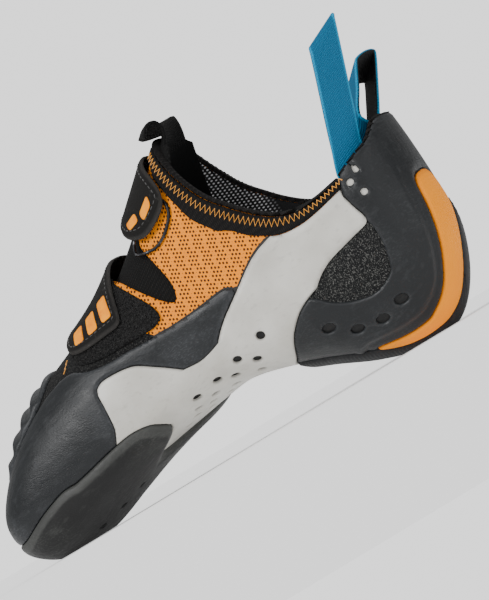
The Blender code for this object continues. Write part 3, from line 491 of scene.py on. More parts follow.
class Finish:
    """A Principled material built node by node."""

    def __init__(self, name, **sockets):
        self.material = bpy.data.materials.new(name)
        self.material.use_nodes = True
        self.nodes = self.material.node_tree.nodes
        self.links = self.material.node_tree.links
        self.shader = self.nodes["Principled BSDF"]
        self.set(self.shader, sockets)
        self.place = self.nodes.new("ShaderNodeTexCoord").outputs["Object"]
        self.height = None

    def set(self, node, sockets):
        for socket, value in sockets.items():
            socket = int(socket[1:]) if socket[1:].isdigit() else socket.replace("_", " ")
            if isinstance(value, bpy.types.NodeSocket):
                self.links.new(value, node.inputs[socket])
            else:
                node.inputs[socket].default_value = value

    def add_node(self, kind, settings=None, **sockets):
        node = self.nodes.new(kind)
        for setting, value in (settings or {}).items():
            setattr(node, setting, value)
        self.set(node, sockets)
        return node

    def add(self, kind, out=0, settings=None, **sockets):
        return self.add_node(kind, settings, **sockets).outputs[out]

    def math(self, operation, first, second=0.0):
        return self.add("ShaderNodeMath", settings={"operation": operation}, i0=first, i1=second)

    def times(self, first, second):
        return self.math("MULTIPLY", first, second)

    def plus(self, first, second):
        return self.math("ADD", first, second)

    def noise(self, scale, detail=4.0, place=None, stretch=None):
        place = place or self.place
        if stretch:
            place = self.add("ShaderNodeMapping", Vector=place, Scale=stretch)
        return self.add("ShaderNodeTexNoise", Vector=place, Scale=scale, Detail=detail)

    def between(self, value, low, high, bottom=0.0, top=1.0):
        return self.add("ShaderNodeMapRange", Value=value, From_Min=low, From_Max=high, To_Min=bottom,
                        To_Max=top)

    def mix(self, share, first, second):
        return self.add("ShaderNodeMix", out=2, settings={"data_type": "RGBA"}, i0=share, i6=first, i7=second)

    def flat(self, scale):
        """The piece's flat map, with its metres times scale."""
        plain = self.add("ShaderNodeUVMap", settings={"uv_map": "flat"})
        return self.add("ShaderNodeMapping", Vector=plain, Scale=(scale, scale, 1))

    def wave(self, place, scale, across=False, **sockets):
        """Even bands, along the flat map's first way or across it."""
        settings = {"bands_direction": "Y"} if across else {}
        return self.add("ShaderNodeTexWave", out=1, settings=settings, Vector=place, Scale=scale, **sockets)

    def parts(self, vector):
        """The three coordinates of a vector."""
        return self.add_node("ShaderNodeSeparateXYZ", i0=vector).outputs

    def dots(self, degrees, scale):
        """Staggered rows of dots on the shoe's side: row, place along it, square of the way to a dot."""
        turned = self.add("ShaderNodeMapping", Vector=self.place, Rotation=(0, math.radians(degrees), 0),
                          Scale=scale)
        x, _, z = self.parts(turned)
        row = self.math("FLOOR", z)
        shift = self.times(self.math("FLOORED_MODULO", row, 2.0), 0.5)
        moved = self.plus(x, shift)
        ways = [self.math("SUBTRACT", self.math("FRACT", value), 0.5) for value in (moved, z)]
        return row, moved, self.plus(*[self.times(way, way) for way in ways])

    def edge_band(self, width, most):
        """How much the piece's edge changes in tone, from most to nothing over a width."""
        return self.between(self.attribute("edge"), 0.0, width, most, 0.0)

    def attribute(self, name):
        return self.add("ShaderNodeAttribute", out=2, settings={"attribute_name": name})

    def colour(self, value):
        self.set(self.shader, {"Base_Color": value})

    def rough(self, value):
        self.set(self.shader, {"Roughness": value})

    def bump(self, height, distance):
        node = self.add_node("ShaderNodeBump", Height=height, Distance=distance)
        if self.height is not None:
            self.links.new(self.height, node.inputs["Normal"])
        self.height = node.outputs[0]
        self.links.new(self.height, self.shader.inputs["Normal"])


def outline(points, radius=CORNER_ROUND):
    """A piece with the same outline on both sides."""
    softened = soft_corners(points, radius)
    return lambda around, girth: inside(softened, mirrored(around), girth)


def grown(part, distance):
    """A piece with its edge moved outwards, or inwards where distance is negative."""
    return lambda around, girth: part(around, girth) + distance


def nowhere(around, girth):
    """No piece at all."""
    return np.full(np.shape(around), -1.0)


def by_side(medial, lateral):
    """A piece with an outline of its own on each side."""
    return lambda around, girth: np.where(around <= 3, medial(around, girth), lateral(around, girth))


def medial_only(part):
    """The medial half of a piece."""
    return by_side(part, nowhere)


def within_all(*parts):
    """What all the parts share."""
    return lambda around, girth: np.min([part(around, girth) for part in parts], axis=0)


def clear_of(part, *others):
    """What is left of a piece beside its neighbours, less the fitting gap."""
    return lambda around, girth: np.min(
        [part(around, girth)] + [-other(around, girth) - FITTING_GAP for other in others], axis=0)


def above_girth(line):
    """Distance above a line along the side."""
    return lambda around, girth: (girth - line) * GIRTH_ARC


def below_collar(around, girth):
    """Distance below the upper's top edge, measured square to that edge."""
    turn = mirrored(around)
    return (collar_height(turn) - last_point(around, girth)[..., 2]) / np.sqrt(1 + collar_slope(turn)**2)


def dressed(piece, slot, *nodes):
    """Puts a piece on the shoe in place of its nodes."""
    if nodes:
        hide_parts(*nodes)
    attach(piece, "root")


HOLE_PITCH = 0.00155
HOLE_ROW_SHARE = 0.86
HOLE_ROWS_TURN = -24         # degrees
DOT_PITCH = 0.0022
DOT_ROW_PITCH = 0.0013
DOT_ROWS_TURN = 30


def perforated_orange():
    """Orange microfibre with clusters of small holes in staggered rows, painted dark brown inside as their
    shade.
    """
    made = Finish("perforated_orange", Roughness=0.78, Specular_IOR_Level=0.25)
    row, moved, square = made.dots(HOLE_ROWS_TURN, (1 / HOLE_PITCH, 1, 1 / HOLE_PITCH * HOLE_ROW_SHARE))
    group = made.times(made.math("FLOOR", made.math("DIVIDE", row, 4.0)), 2.0)
    column = made.math("FLOORED_MODULO", made.plus(made.math("FLOOR", moved), group), 4.0)
    reach = made.math("SQRT", square)
    size = made.between(column, 0.4, 0.6, 0.05, 0.27)
    hole = made.between(made.math("SUBTRACT", reach, size), -0.03, 0.06, 1.0, 0.0)
    tone = made.mix(made.noise(700.0, 3.0), rgb(252, 152, 2), rgb(234, 128, 0))
    # The dark brown inside the holes is painted shade.
    made.colour(made.mix(hole, tone, rgb(66, 30, 12)))
    made.bump(made.noise(1500.0, 3.0), 0.00012)
    made.bump(hole, -0.0004)
    return made.material


COLLAR_TAPE = (
    # around, depth of the tape below the collar's edge
    (0.90, 0.0036),
    (1.05, 0.0042),
    (1.20, 0.0080),
    (1.30, 0.0095),
    (1.36, 0.0090),
    (1.40, 0.0075),
)
tape_depth = curve(COLLAR_TAPE, lambda row: row[1])
TAPE_FOLD = 0.0009           # how far the tape's fold grips the upper's edge
TAPE_FROM = 0.93
TAPE_TO = 1.43
CREASES = (
    # around, girth, length, turn, depth
    (1.30, 0.33, 0.030, 20, 0.0005),
    (1.42, 0.30, 0.026, -25, 0.0006),
    (1.48, 0.22, 0.022, 35, 0.0005),
    (4.62, 0.40, 0.034, 15, 0.0006),
    (4.50, 0.25, 0.030, -30, 0.0005),
)
CREASE_WIDTH = 0.0035
CREASE_RIDGE = 0.6           # height of the ridge beside a crease, a share of its depth
CREASE_RIDGE_PLACE = 1.4     # and how far away it is, in widths


def creases(rows):
    """Soft troughs with a low ridge beside them, placed along short lines."""
    def relief(point, around, girth, edge):
        fall = np.zeros(len(point))
        x, y = flat_place(mirrored(around), girth)
        for place, level, length, turn, depth in rows:
            cx, cy = flat_place(np.array(mirrored(place)), np.array(level))
            c, k = math.cos(math.radians(turn)), math.sin(math.radians(turn))
            along = ((x - cx) * c + (y - cy) * k) / (length / 2)
            across = (-(x - cx) * k + (y - cy) * c) / CREASE_WIDTH
            here = np.exp(-along**2) * ((around <= 3) == (place <= 3))
            ridge = CREASE_RIDGE * np.exp(-(across - CREASE_RIDGE_PLACE)**2)
            fall += depth * here * (ridge - np.exp(-across**2))
        return fall
    return relief


def tape_area(around, girth):
    """The knit tape along the collar's edge."""
    turn = mirrored(around)
    below = below_collar(around, girth)
    ends = np.minimum(turn - TAPE_FROM, TAPE_TO - turn) * SIDE_ARC
    return np.minimum(np.minimum(below - TAPE_FOLD, tape_depth(turn) - below), ends)


def dotted_lining():
    """Black see-through mesh lining; near the instep, rows of small pale dots are painted light showing
    through its open mesh from behind.
    """
    made = Finish("dotted_lining", Roughness=0.9)
    _, _, square = made.dots(DOT_ROWS_TURN, (1 / DOT_PITCH, 1, 1 / DOT_ROW_PITCH))
    # The pale dots are painted light: the bright surround seen through the open mesh.
    dot = made.between(square, 0.045, 0.09, 1.0, 0.0)
    x, _, z = made.parts(made.place)
    zone = made.times(made.between(x, 0.000, 0.003), made.between(x, 0.040, 0.046, 1.0, 0.0))
    high = made.between(z, 0.070, 0.074)
    share = made.times(dot, made.times(zone, high))
    made.colour(made.mix(share, rgb(16, 16, 17), rgb(225, 225, 228)))
    made.bump(made.noise(900.0, 3.0), 0.0002)
    return made.material


throat = by_side(outline(THROAT_MEDIAL), outline(THROAT_LATERAL))     # the opening over the instep
upper_area = clear_of(within_all(grown(below_collar, -TAPE_FOLD), above_girth(LASTING_GIRTH)), throat)
upper = skin("upper", upper_area, -UPPER_WALL, UPPER_WALL, perforated_orange(), cell=0.0014,
             relief=creases(CREASES))
dressed(upper, "orange_mesh", "upper")
LINING_WALL = 0.0002
LINING_GAP = 0.00004
LINING_INSET = 0.0001
lining = skin("lining", grown(upper_area, -LINING_INSET), -UPPER_WALL - LINING_WALL - LINING_GAP, LINING_WALL,
              dotted_lining(), cell=0.0016)
dressed(lining, "black_knit")


# Toe cloth
# In front of the orange panel the upper is covered with black melange cloth, sewn on under the pile
# and running into the toe's rubber.
TOE_CLOTH_OUTLINE = (
    (1.600, 0.15), (1.640, 0.25), (1.695, 0.32), (1.715, 0.50), (1.740, 0.70), (1.750, 1.05),
    (3.10, 1.05), (3.10, -0.20), (1.600, -0.20),
)
TOE_CLOTH_WALL = 0.00012
TOE_CLOTH_SEAT = 0.00002


def melange_cloth(name, dark, light):
    """Salt-and-pepper cloth: short pale threads on black."""
    made = Finish(name, Roughness=0.95, Specular_IOR_Level=0.2)
    threads = made.noise(2300.0, 6.0, stretch=(1.0, 1.0, 0.55))
    cross = made.noise(2700.0, 6.0, stretch=(0.55, 0.55, 1.0))
    pale = made.math("MAXIMUM", made.between(threads, 0.55, 0.66), made.between(cross, 0.58, 0.70))
    made.colour(made.mix(pale, dark, light))
    made.bump(threads, 0.0003)
    return made.material


toe_cloth_area = within_all(outline(TOE_CLOTH_OUTLINE), upper_area)
toe_cloth = skin("toe_cloth", toe_cloth_area, TOE_CLOTH_SEAT, TOE_CLOTH_WALL,
                 melange_cloth("toe_melange", rgb(14, 14, 15), rgb(64, 64, 62)), cell=0.0014, whole=True)
dressed(toe_cloth, "black_knit")


# Board and insole
# A pressed fibre board closes the upper underneath, with a thin black knitted insole glued on it.
BOARD_WALL = 0.0018
INSOLE_WALL = 0.0020


def pressed_board():
    """Pale fibre board with a short, random grain."""
    made = Finish("pressed_board", Roughness=0.85)
    made.colour(made.mix(made.noise(900.0, 4.0, stretch=(1, 4, 1)), rgb(150, 146, 138), rgb(118, 114, 106)))
    made.bump(made.noise(1400.0, 3.0), 0.0001)
    return made.material


def knit(name, dark, light, pitch):
    """A fine ribbed knit that follows the piece's flat map."""
    made = Finish(name, Roughness=0.95, Specular_IOR_Level=0.2)
    flat = made.flat(1 / pitch)
    loops = made.times(made.wave(flat, 0.32, Distortion=1.2),
                       made.wave(flat, 0.32, across=True, Distortion=0.8))
    made.colour(made.mix(made.times(loops, made.noise(400.0)), dark, light))
    made.bump(loops, 0.0003)
    return made.material


def board_area(around, girth):
    """Under the foot, inside the upper's lasted edge."""
    return (LASTING_GIRTH - girth) * GIRTH_ARC - FITTING_GAP


insole_knit = knit("insole_knit", rgb(26, 26, 27), rgb(70, 68, 66), 0.0011)
board = skin("board", board_area, -BOARD_WALL, BOARD_WALL, pressed_board(), cell=0.0025)
insole = skin("insole", board_area, -BOARD_WALL - FITTING_GAP - INSOLE_WALL, INSOLE_WALL, insole_knit,
              cell=0.0025)
dressed(board, "pale_board", "midsole")
dressed(insole, "black_knit", "insole")


# Front outsole
# A 4 mm sheet of sticky black rubber, cut with a waved back edge, ground thin where its edge meets
# the rand, and glued from the toe to the arch. Three oval holes are sunk into it near the tip.
OUTSOLE_WALL = 0.0040
SOLE_EDGE_WALL = 0.0019
SOLE_EDGE_TAPER = 0.0090
OUTSOLE_CORNER = 0.0060      # rounding of its back corners
TOE_HOLE_LEAN = 0.5
TOE_HOLE_SIZE = (0.0034, 0.0024)
TOE_HOLE_DEPTH = 0.0016
TOE_HOLE_SLOPE = 0.0004      # how wide the hole's wall is
TOE_HOLES = ((2.23, -0.68), (1.99, -0.80), (1.93, -0.88))
SOLE_LINE = (
    # around, girth
    (1.60, -0.20),
    (1.84, -0.20),
    (1.97, -0.17),
    (2.08, -0.11),
    (2.22, -0.11),
    (2.40, -0.15),
    (2.60, -0.23),
    (3.00, -0.26),
)
OUTSOLE_BACK = (
    # side, along
    (-0.52, 0.290),
    (-0.465, 0.335),
    (-0.41, 0.367),
    (-0.36, 0.380),
    (-0.30, 0.381),
    (-0.265, 0.370),
    (-0.22, 0.346),
    (-0.11, 0.309),
    (-0.045, 0.313),
    (0.06, 0.340),
    (0.19, 0.386),
    (0.30, 0.413),
    (0.42, 0.436),
    (0.52, 0.438),
)
sole_line = curve(SOLE_LINE, lambda row: row[1])
outsole_back = curve(OUTSOLE_BACK, lambda row: row[1])


def worn_rubber(name, tone, dust, rough, grain=0.00006, scratch=0.35, bevel=0.0):
    """Rubber with fine grain, sanding scratches and pale dust, paler where its edges wear; its fine sanding
    lines are painted paler, partly as real scuffs and partly as their highlights.

    bevel is how pale the ground strip along the edge is.
    """
    made = Finish(name, Specular_IOR_Level=0.3)
    mottle = made.noise(40.0, 8.0)
    scratches = made.noise(110.0, 9.0, stretch=(1.0, 7.0, 2.6))
    fine = made.noise(2600.0, 3.0)
    edge_tone = made.edge_band(0.0012, 0.45)
    dusty = made.plus(made.between(mottle, 0.48, 0.80, 0.0, 0.35),
                      made.between(scratches, 0.56, 0.74, 0.0, scratch))
    lines = made.noise(480.0, 7.0, stretch=(1.6, 0.25, 4.0))
    # The sanding lines are real scuffs, lightened partly as a painted highlight along them.
    sanding_and_highlight = made.times(made.between(lines, 0.50, 0.72),
                        made.between(mottle, 0.44, 0.66, 0.05, 0.75))
    ground = made.between(made.attribute("edge"), 0.0040, 0.0052, bevel, 0.0)
    marks = made.plus(made.plus(dusty, edge_tone), made.plus(sanding_and_highlight, ground))
    share = made.math("MINIMUM", marks, 1.0)
    made.colour(made.mix(share, tone, dust))
    made.rough(made.between(made.plus(scratches, mottle), 0.7, 1.3, rough - 0.10, rough + 0.14))
    made.bump(scratches, 0.00018)
    made.bump(lines, 0.00010)
    made.bump(fine, grain)
    return made.material


def holes(places, size, lean=0.0):
    """Distance to the nearest of some oval holes, positive inside them."""
    def depth(around, girth):
        point = last_point(around, girth)
        best = np.full(np.shape(around), -1.0)
        for place in places:
            centre = last_point(*np.array([place]).T)[0]
            normal = last_normal(*np.array([place]).T)[0]
            along = np.cross(normal, (math.sin(lean), 0, math.cos(lean)))
            along /= np.linalg.norm(along)
            across = np.cross(normal, along)
            way = point - centre
            reach = np.sqrt(((way @ along) / size[0])**2 + ((way @ across) / size[1])**2
                            + ((way @ normal) / size[0])**2)
            best = np.maximum(best, (0.5 - reach) * min(size))
        return best
    return depth


def sole_wall(full):
    """A sole's thickness: thin at the glued edge, full further in."""
    def thickness(edge, around, girth):
        share = np.clip(edge / SOLE_EDGE_TAPER, 0, 1)
        return SOLE_EDGE_WALL + (full - SOLE_EDGE_WALL) * share * (2 - share)
    return thickness


def outsole_area(around, girth):
    """Under the foot up to the sole line, and forward of the outsole's waved back edge."""
    point = last_point(around, girth)
    back = outsole_back(point[..., 1] / BALL_WIDTH) - point[..., 0] / LAST_LENGTH - 0.5
    below = (sole_line(mirrored(around)) - girth) * GIRTH_ARC
    ahead = back * LAST_LENGTH
    corner = OUTSOLE_CORNER - np.hypot(OUTSOLE_CORNER - below, OUTSOLE_CORNER - ahead)
    nearest = np.minimum(below, ahead)
    return np.where(np.maximum(below, ahead) < OUTSOLE_CORNER, corner, nearest)


def toe_holes_relief(point, around, girth, edge):
    """Sinks the three oval holes into the outsole."""
    depth = holes(TOE_HOLES, TOE_HOLE_SIZE, lean=TOE_HOLE_LEAN)(around, girth)
    return -TOE_HOLE_DEPTH * np.clip(depth / TOE_HOLE_SLOPE + 0.5, 0, 1)


outsole_black = worn_rubber("outsole_black", rgb(18, 18, 18), rgb(62, 63, 61), 0.5, bevel=0.6)
sole_black = worn_rubber("sole_black", rgb(18, 18, 18), rgb(46, 46, 45), 0.5)
outsole = skin("outsole", outsole_area, FITTING_GAP, sole_wall(OUTSOLE_WALL), outsole_black, cell=0.0010,
               rounded=0.0008, relief=toe_holes_relief, floor=True)
dressed(outsole, "sole_rubber", "outsole_front")


# Arch band
# A pale grey rubber tension band: it wraps the arch and climbs the medial side to a tab at the
# heel. Rows of round holes through it lighten it, with a darker layer behind.
BAND_WALL = 0.0014
BAND_HOLES = (
    # size along and across, places
    ((0.0034, 0.0032), ((1.38, -0.18), (1.47, -0.32), (1.43, -0.43), (1.55, -0.43), (1.51, -0.53),
                        (1.62, -0.45))),
    ((0.0027, 0.0025), ((1.45, -0.63), (1.59, -0.61), (1.54, -0.72), (1.65, -0.62), (1.62, -0.73),
                        (1.49, -0.85), (1.68, -0.75))),
    ((0.0019, 0.0018), ((1.65, -0.88), (1.73, -0.86), (4.47, -0.96), (4.39, -0.99), (4.37, -0.87),
                        (1.58, -0.84), (1.69, -0.98))),
)
BAND_OUTLINE = (
    (1.845, -0.20), (1.825, 0.02), (1.822, 0.15), (1.825, 0.24), (1.805, 0.265),
    (1.77, 0.245), (1.73, 0.21), (1.70, 0.175), (1.66, 0.10), (1.62, 0.035), (1.585, -0.02),
    (1.55, -0.065), (1.51, -0.04), (1.46, 0.035), (1.38, 0.09), (1.30, 0.14), (1.21, 0.17),
    (1.10, 0.18), (1.02, 0.19), (0.94, 0.225), (0.90, 0.21), (0.99, 0.175), (1.01, 0.145),
    (0.99, 0.11), (0.91, 0.055), (1.06, 0.05), (1.14, 0.035), (1.20, -0.01), (1.25, -0.09),
    (1.29, -0.22), (1.32, -0.36), (1.35, -0.60), (1.375, -0.78), (1.39, -1.02),
    (1.85, -1.02), (1.90, -0.60), (1.87, -0.30),
)


def grey_band_rubber():
    """Pale warm grey rubber with a soft sheen, rubbed slightly darker in places, and darker along its edges.
    """
    made = Finish("grey_band_rubber", Specular_IOR_Level=0.5, Coat_Weight=0.12, Coat_Roughness=0.4)
    mottle = made.noise(45.0, 5.0)
    rubbed = made.noise(240.0, 5.0, stretch=(1.0, 5.0, 2.0))
    tone = made.mix(made.between(mottle, 0.35, 0.7), rgb(203, 201, 194), rgb(181, 178, 169))
    dirt = made.between(rubbed, 0.58, 0.75, 0.0, 0.30)
    # Darker towards its edges, in a narrow band.
    edge_tone = made.edge_band(0.0006, 0.35)
    made.colour(made.mix(made.plus(dirt, edge_tone), tone, rgb(133, 130, 122)))
    made.rough(made.between(mottle, 0.3, 0.7, 0.36, 0.5))
    made.bump(made.noise(1900.0, 3.0), 0.00005)
    made.bump(rubbed, 0.0001)
    return made.material


def band_holes(around, girth):
    """Every hole through the band, positive inside."""
    return np.max([holes(places, size)(around, girth) for size, places in BAND_HOLES], axis=0)


solid_band = clear_of(outline(BAND_OUTLINE), outsole_area)
holed_band = clear_of(solid_band, band_holes, tape_area)
band_grey = grey_band_rubber()
band = skin("arch_band", holed_band, FITTING_GAP, BAND_WALL, band_grey, cell=0.0009, rounded=0.0007)
dressed(band, "grey_rubber", "arch_band")


# Toe rand and toe patch
# A thin black rubber rand is stretched around the toe and the sides under the band. On top of the
# toe a second patch is moulded with ribs for hooking.
RAND_WALL = 0.0012
TOE_PATCH_WALL = 0.0016
TOE_RIB_RISE = 0.0016
TOE_RIB_HALF = 0.0022
TOE_RIB_LEAN = 0.10
TOE_RIB_FADE = 0.004
TOE_RIBS = (-0.064, -0.074, -0.082, -0.090, -0.098, -0.106)
RAND_OUTLINE = (
    (1.36, 0.08), (1.39, 0.12), (1.44, 0.125), (1.50, 0.135), (1.57, 0.16), (1.60, 0.18),
    (1.65, 0.21), (1.70, 0.255), (1.75, 0.295), (1.80, 0.345), (1.84, 0.40), (1.88, 0.50),
    (1.95, 0.55), (2.20, 0.52), (2.60, 0.45), (3.00, 0.42), (3.10, 0.42), (3.10, -0.6),
    (1.36, -0.6),
)
TOE_PATCH_OUTLINE = (
    (1.98, 1.02), (1.98, 0.62), (2.10, 0.56), (2.40, 0.50), (2.70, 0.44), (3.10, 0.42),
    (3.10, 1.02),
)


def ribs(point, around, girth, edge):
    """Low rounded ribs across the toe, which fade towards the patch's edge."""
    rise = np.zeros(len(point))
    for place in TOE_RIBS:
        way = (point[:, 0] - place + TOE_RIB_LEAN * point[:, 1]) / TOE_RIB_HALF
        rise = np.maximum(rise, np.exp(-way**2))
    return TOE_RIB_RISE * rise * np.clip(edge / TOE_RIB_FADE, 0, 1)


rand_black = worn_rubber("rand_black", rgb(24, 26, 28), rgb(58, 60, 63), 0.38, scratch=0.4)
toe_rand_area = clear_of(outline(RAND_OUTLINE), outsole_area, solid_band)
rand = skin("toe_rand", toe_rand_area, FITTING_GAP, RAND_WALL, rand_black, cell=0.0011)
dressed(rand, "dark_rubber", "toe_rand")
patch = skin("toe_patch", clear_of(outline(TOE_PATCH_OUTLINE), toe_rand_area), FITTING_GAP,
             TOE_PATCH_WALL, rand_black, cell=0.0011, relief=ribs)
dressed(patch, "dark_rubber", "toe_patch")


# Heel cup, heel sole and heel strip
# Moulded black heel rubber framed around a cloth window, with four holes, a thicker rubber under
# the heel that climbs its back, and an orange tension strip around the back corner.
HEEL_CUP_WALL = 0.0014
HEEL_SOLE_WALL = 0.0040
HEEL_STRIP_WALL = 0.0019
# Thin layers under the rubber: what shows through its holes and window, and how far each reaches. The dark
# glue layer's rim past the rubber's edges is a painted contact shadow.
UNDERLAY_SEAT, UNDERLAY_WALL, UNDERLAY_REACH = 0.00017, 0.00012, 0.0010
WINDOW_SEAT, WINDOW_WALL, WINDOW_REACH = 0.00016, 0.00014, 0.0025
CEMENT_SEAT, CEMENT_WALL, CEMENT_SHADOW_REACH = 0.00003, 0.00014, 0.0004
MOULD_RIDGE_TOP = 0.075      # height at which the mould's ridge has faded out
MOULD_RIDGE_FADE = 0.02
MOULD_WAVES = (
    # distance from the strip, half width, rise
    (0.0075, 0.0016, 0.0006),
    (0.0045, 0.0014, -0.0004),
)
TAB_HOLES = ((0.78, 0.18), (0.89, 0.16), (0.82, 0.12))
TAB_HOLE_SIZE = (0.0027, 0.0024)
HEEL_HOLE_SIZE = (0.0056, 0.0040)
HEEL_HOLES = ((1.22, -0.34), (1.16, -0.43), (1.09, -0.43), (1.02, -0.38))
# Upper edge of the heel's sole, counted around from the heel's middle, negative on the lateral side
HEEL_SOLE_LINE = (
    # around, girth
    (-3.00, -0.77),
    (-1.40, -0.77),
    (-1.00, -0.70),
    (-0.60, -0.52),
    (-0.35, -0.28),
    (-0.14, -0.04),
    (0.00, -0.10),
    (0.20, -0.40),
    (0.40, -0.60),
    (0.60, -0.72),
    (0.92, -0.75),
    (1.17, -0.76),
    (3.00, -0.77),
)
HEEL_CUP_OUTLINE = (
    (-0.10, 0.40), (0.20, 0.40), (0.50, 0.40), (0.75, 0.30), (0.88, 0.27), (0.93, 0.25),
    (1.10, 0.10), (1.42, -0.20), (1.42, -0.82), (-0.10, -0.82),
)
WINDOW_OUTLINE = (
    (0.93, 0.055), (1.05, 0.07), (1.16, 0.05), (1.24, -0.02), (1.20, -0.06), (1.18, -0.13),
    (1.14, -0.195), (1.09, -0.23), (1.05, -0.235), (1.01, -0.20), (0.965, -0.14), (0.93, -0.06),
    (0.915, 0.01),
)
STRIP_OUTLINE = (
    (0.30, 0.075), (0.33, 0.00), (0.35, -0.12), (0.38, -0.26), (0.43, -0.38), (0.52, -0.51),
    (0.68, -0.60), (0.92, -0.66), (1.06, -0.68), (1.13, -0.69), (1.17, -0.745), (1.13, -0.795),
    (1.05, -0.84), (0.60, -0.84), (0.26, -0.78), (0.09, -0.70), (0.00, -0.57), (-0.05, -0.44),
    (-0.09, -0.30), (-0.12, -0.14), (-0.12, 0.02), (-0.04, 0.075), (0.12, 0.085),
)
strip_outline = soft_corners(STRIP_OUTLINE)


def heel_strip_area(around, girth):
    """The orange strip, which crosses the heel's middle line."""
    return inside(strip_outline, signed(around), girth)


def heel_sole_area(around, girth):
    """Under the heel, climbing its back on the lateral side of the heel strip."""
    turn, line = zip(*HEEL_SOLE_LINE)
    edge = (np.interp(signed(around), turn, line) - girth) * GIRTH_ARC
    return np.minimum(edge, last_point(around, girth)[..., 0])


def lined_rubber():
    """Black heel rubber with faint lines from its mould."""
    made = Finish("lined_rubber", Specular_IOR_Level=0.3)
    lines = made.wave(made.flat(650.0), 0.30, Distortion=0.6)
    mottle = made.noise(70.0, 5.0)
    made.colour(made.mix(made.between(mottle, 0.4, 0.75, 0.0, 0.6), rgb(22, 23, 25), rgb(50, 51, 53)))
    made.rough(made.between(mottle, 0.3, 0.7, 0.45, 0.65))
    made.bump(lines, 0.00012)
    made.bump(made.noise(2400.0, 3.0), 0.00005)
    return made.material


def orange_strip_rubber():
    """Orange rubber with a fine woven satin print, darker and browner along its edges."""
    made = Finish("orange_strip_rubber", Roughness=0.6, Specular_IOR_Level=0.15)
    flat = made.flat(1500.0)
    weave = made.times(made.wave(flat, 0.32), made.wave(flat, 0.32, across=True))
    # The orange turns darker and browner towards its edges.
    edge_tone = made.edge_band(0.0009, 0.5)
    tone = made.mix(made.noise(60.0, 5.0), rgb(255, 158, 0), rgb(246, 142, 0))
    made.colour(made.mix(edge_tone, tone, rgb(190, 96, 6)))
    made.bump(weave, 0.00007)
    return made.material


heel_sole_part = clear_of(heel_sole_area, heel_strip_area, solid_band)
heel_holes = holes(HEEL_HOLES, HEEL_HOLE_SIZE)
heel_cup_area = clear_of(within_all(outline(HEEL_CUP_OUTLINE), below_collar), solid_band,
                         outline(WINDOW_OUTLINE), heel_strip_area, heel_sole_part)
cup_black = worn_rubber("cup_black", rgb(22, 24, 26), rgb(52, 54, 56), 0.38)
tab_holes = holes(TAB_HOLES, TAB_HOLE_SIZE)


def mould_ridge(point, around, girth, edge):
    """The shallow ridge and the groove that the heel's mould leaves in front of the strip."""
    away = -heel_strip_area(around, girth)
    high = np.clip((MOULD_RIDGE_TOP - point[:, 2]) / MOULD_RIDGE_FADE, 0, 1) * (around <= 3)
    return high * sum(rise * np.exp(-((away - place) / width)**2) for place, width, rise in MOULD_WAVES)


heel_cup = skin("heel_cup", clear_of(heel_cup_area, heel_holes, tab_holes), FITTING_GAP, HEEL_CUP_WALL,
                cup_black, cell=0.0010, relief=mould_ridge)
underlay = skin("tab_underlay", grown(tab_holes, UNDERLAY_REACH), UNDERLAY_SEAT, UNDERLAY_WALL, band_grey,
                cell=0.0005, whole=True)
dressed(underlay, "grey_rubber")
dressed(heel_cup, "dark_rubber", "heel_cup")
heel_sole = skin("heel_sole", heel_sole_part, FITTING_GAP, sole_wall(HEEL_SOLE_WALL), lined_rubber(),
                 cell=0.0010, rounded=0.0008, floor=True)
dressed(heel_sole, "dark_rubber", "heel_sole")
heel_strip = skin("heel_strip", heel_strip_area, FITTING_GAP, HEEL_STRIP_WALL, orange_strip_rubber(),
                  cell=0.0009, rounded=0.0014, floor=True)
dressed(heel_strip, "orange_rubber", "heel_strip")


def rubber_area(around, girth):
    """Everything that rubber is glued to."""
    areas = (solid_band, toe_rand_area, outline(TOE_PATCH_OUTLINE), heel_cup_area, heel_strip_area,
             heel_sole_part, outsole_area)
    return np.max([area(around, girth) for area in areas], axis=0)


# Dark glue under all the rubber shows in the joints and holes; where it reaches past the rubber's edges it is
# a painted contact shadow.
cement_and_shadow_area = clear_of(within_all(grown(rubber_area, CEMENT_SHADOW_REACH), below_collar), tape_area)
cement_and_shadow = skin("cement_and_shadow_layer", cement_and_shadow_area, CEMENT_SEAT, CEMENT_WALL, sole_black, cell=0.0018, whole=True)
dressed(cement_and_shadow, "dark_rubber")
window_cloth = melange_cloth("heel_melange", rgb(20, 21, 22), rgb(92, 92, 89))
window = skin("heel_window", grown(outline(WINDOW_OUTLINE), WINDOW_REACH), WINDOW_SEAT, WINDOW_WALL,
              window_cloth, cell=0.0014, whole=True)
dressed(window, "black_knit")


# Tongue
# A thin black knitted tongue under the instep opening, sewn in below it. Its top edge is folded over
# outwards into a soft roll.
TONGUE_WALL = 0.0015
TONGUE_SEAT = -UPPER_WALL - FITTING_GAP
TONGUE_TOP = 0.1340
INSTEP_SPAN = (1.25, 1.75)   # around of the two ends of the instep's slope
TONGUE_ROLL_HEIGHT = 0.0090
TONGUE_ROLL_END = 0.68
TONGUE_CORNER_SLOPE = 1.2
SHEET_EDGE_SHARE = 0.55      # thickness left at a bent sheet's edge, a share of the wall
TONGUE_ROLL = (
    # out, up
    (0.00, -0.30),
    (0.00, 0.00),
    (0.02, 0.45),
    (0.20, 0.82),
    (0.55, 1.00),
    (0.88, 0.85),
    (1.05, 0.50),
    (1.08, 0.05),
)
TONGUE_OUTLINE = (
    (1.32, 1.05), (1.33, 0.80), (1.37, 0.60), (1.46, 0.20), (1.53, 0.12), (1.60, 0.24),
    (1.68, 0.50), (1.74, 0.66), (1.79, 1.05),
)


def catmull(p, q, r, s, t):
    """A smooth line from q to r, which heads on to s from p."""
    return 0.5 * (2 * q + (r - p) * t + (2 * p - 5 * q + 4 * r - s) * t**2 + (3 * q - p - 3 * r + s) * t**3)


def run_length(points):
    """How far each point lies along the line through them."""
    return np.concatenate([[0], np.cumsum(np.linalg.norm(np.diff(points, axis=0), axis=1))])


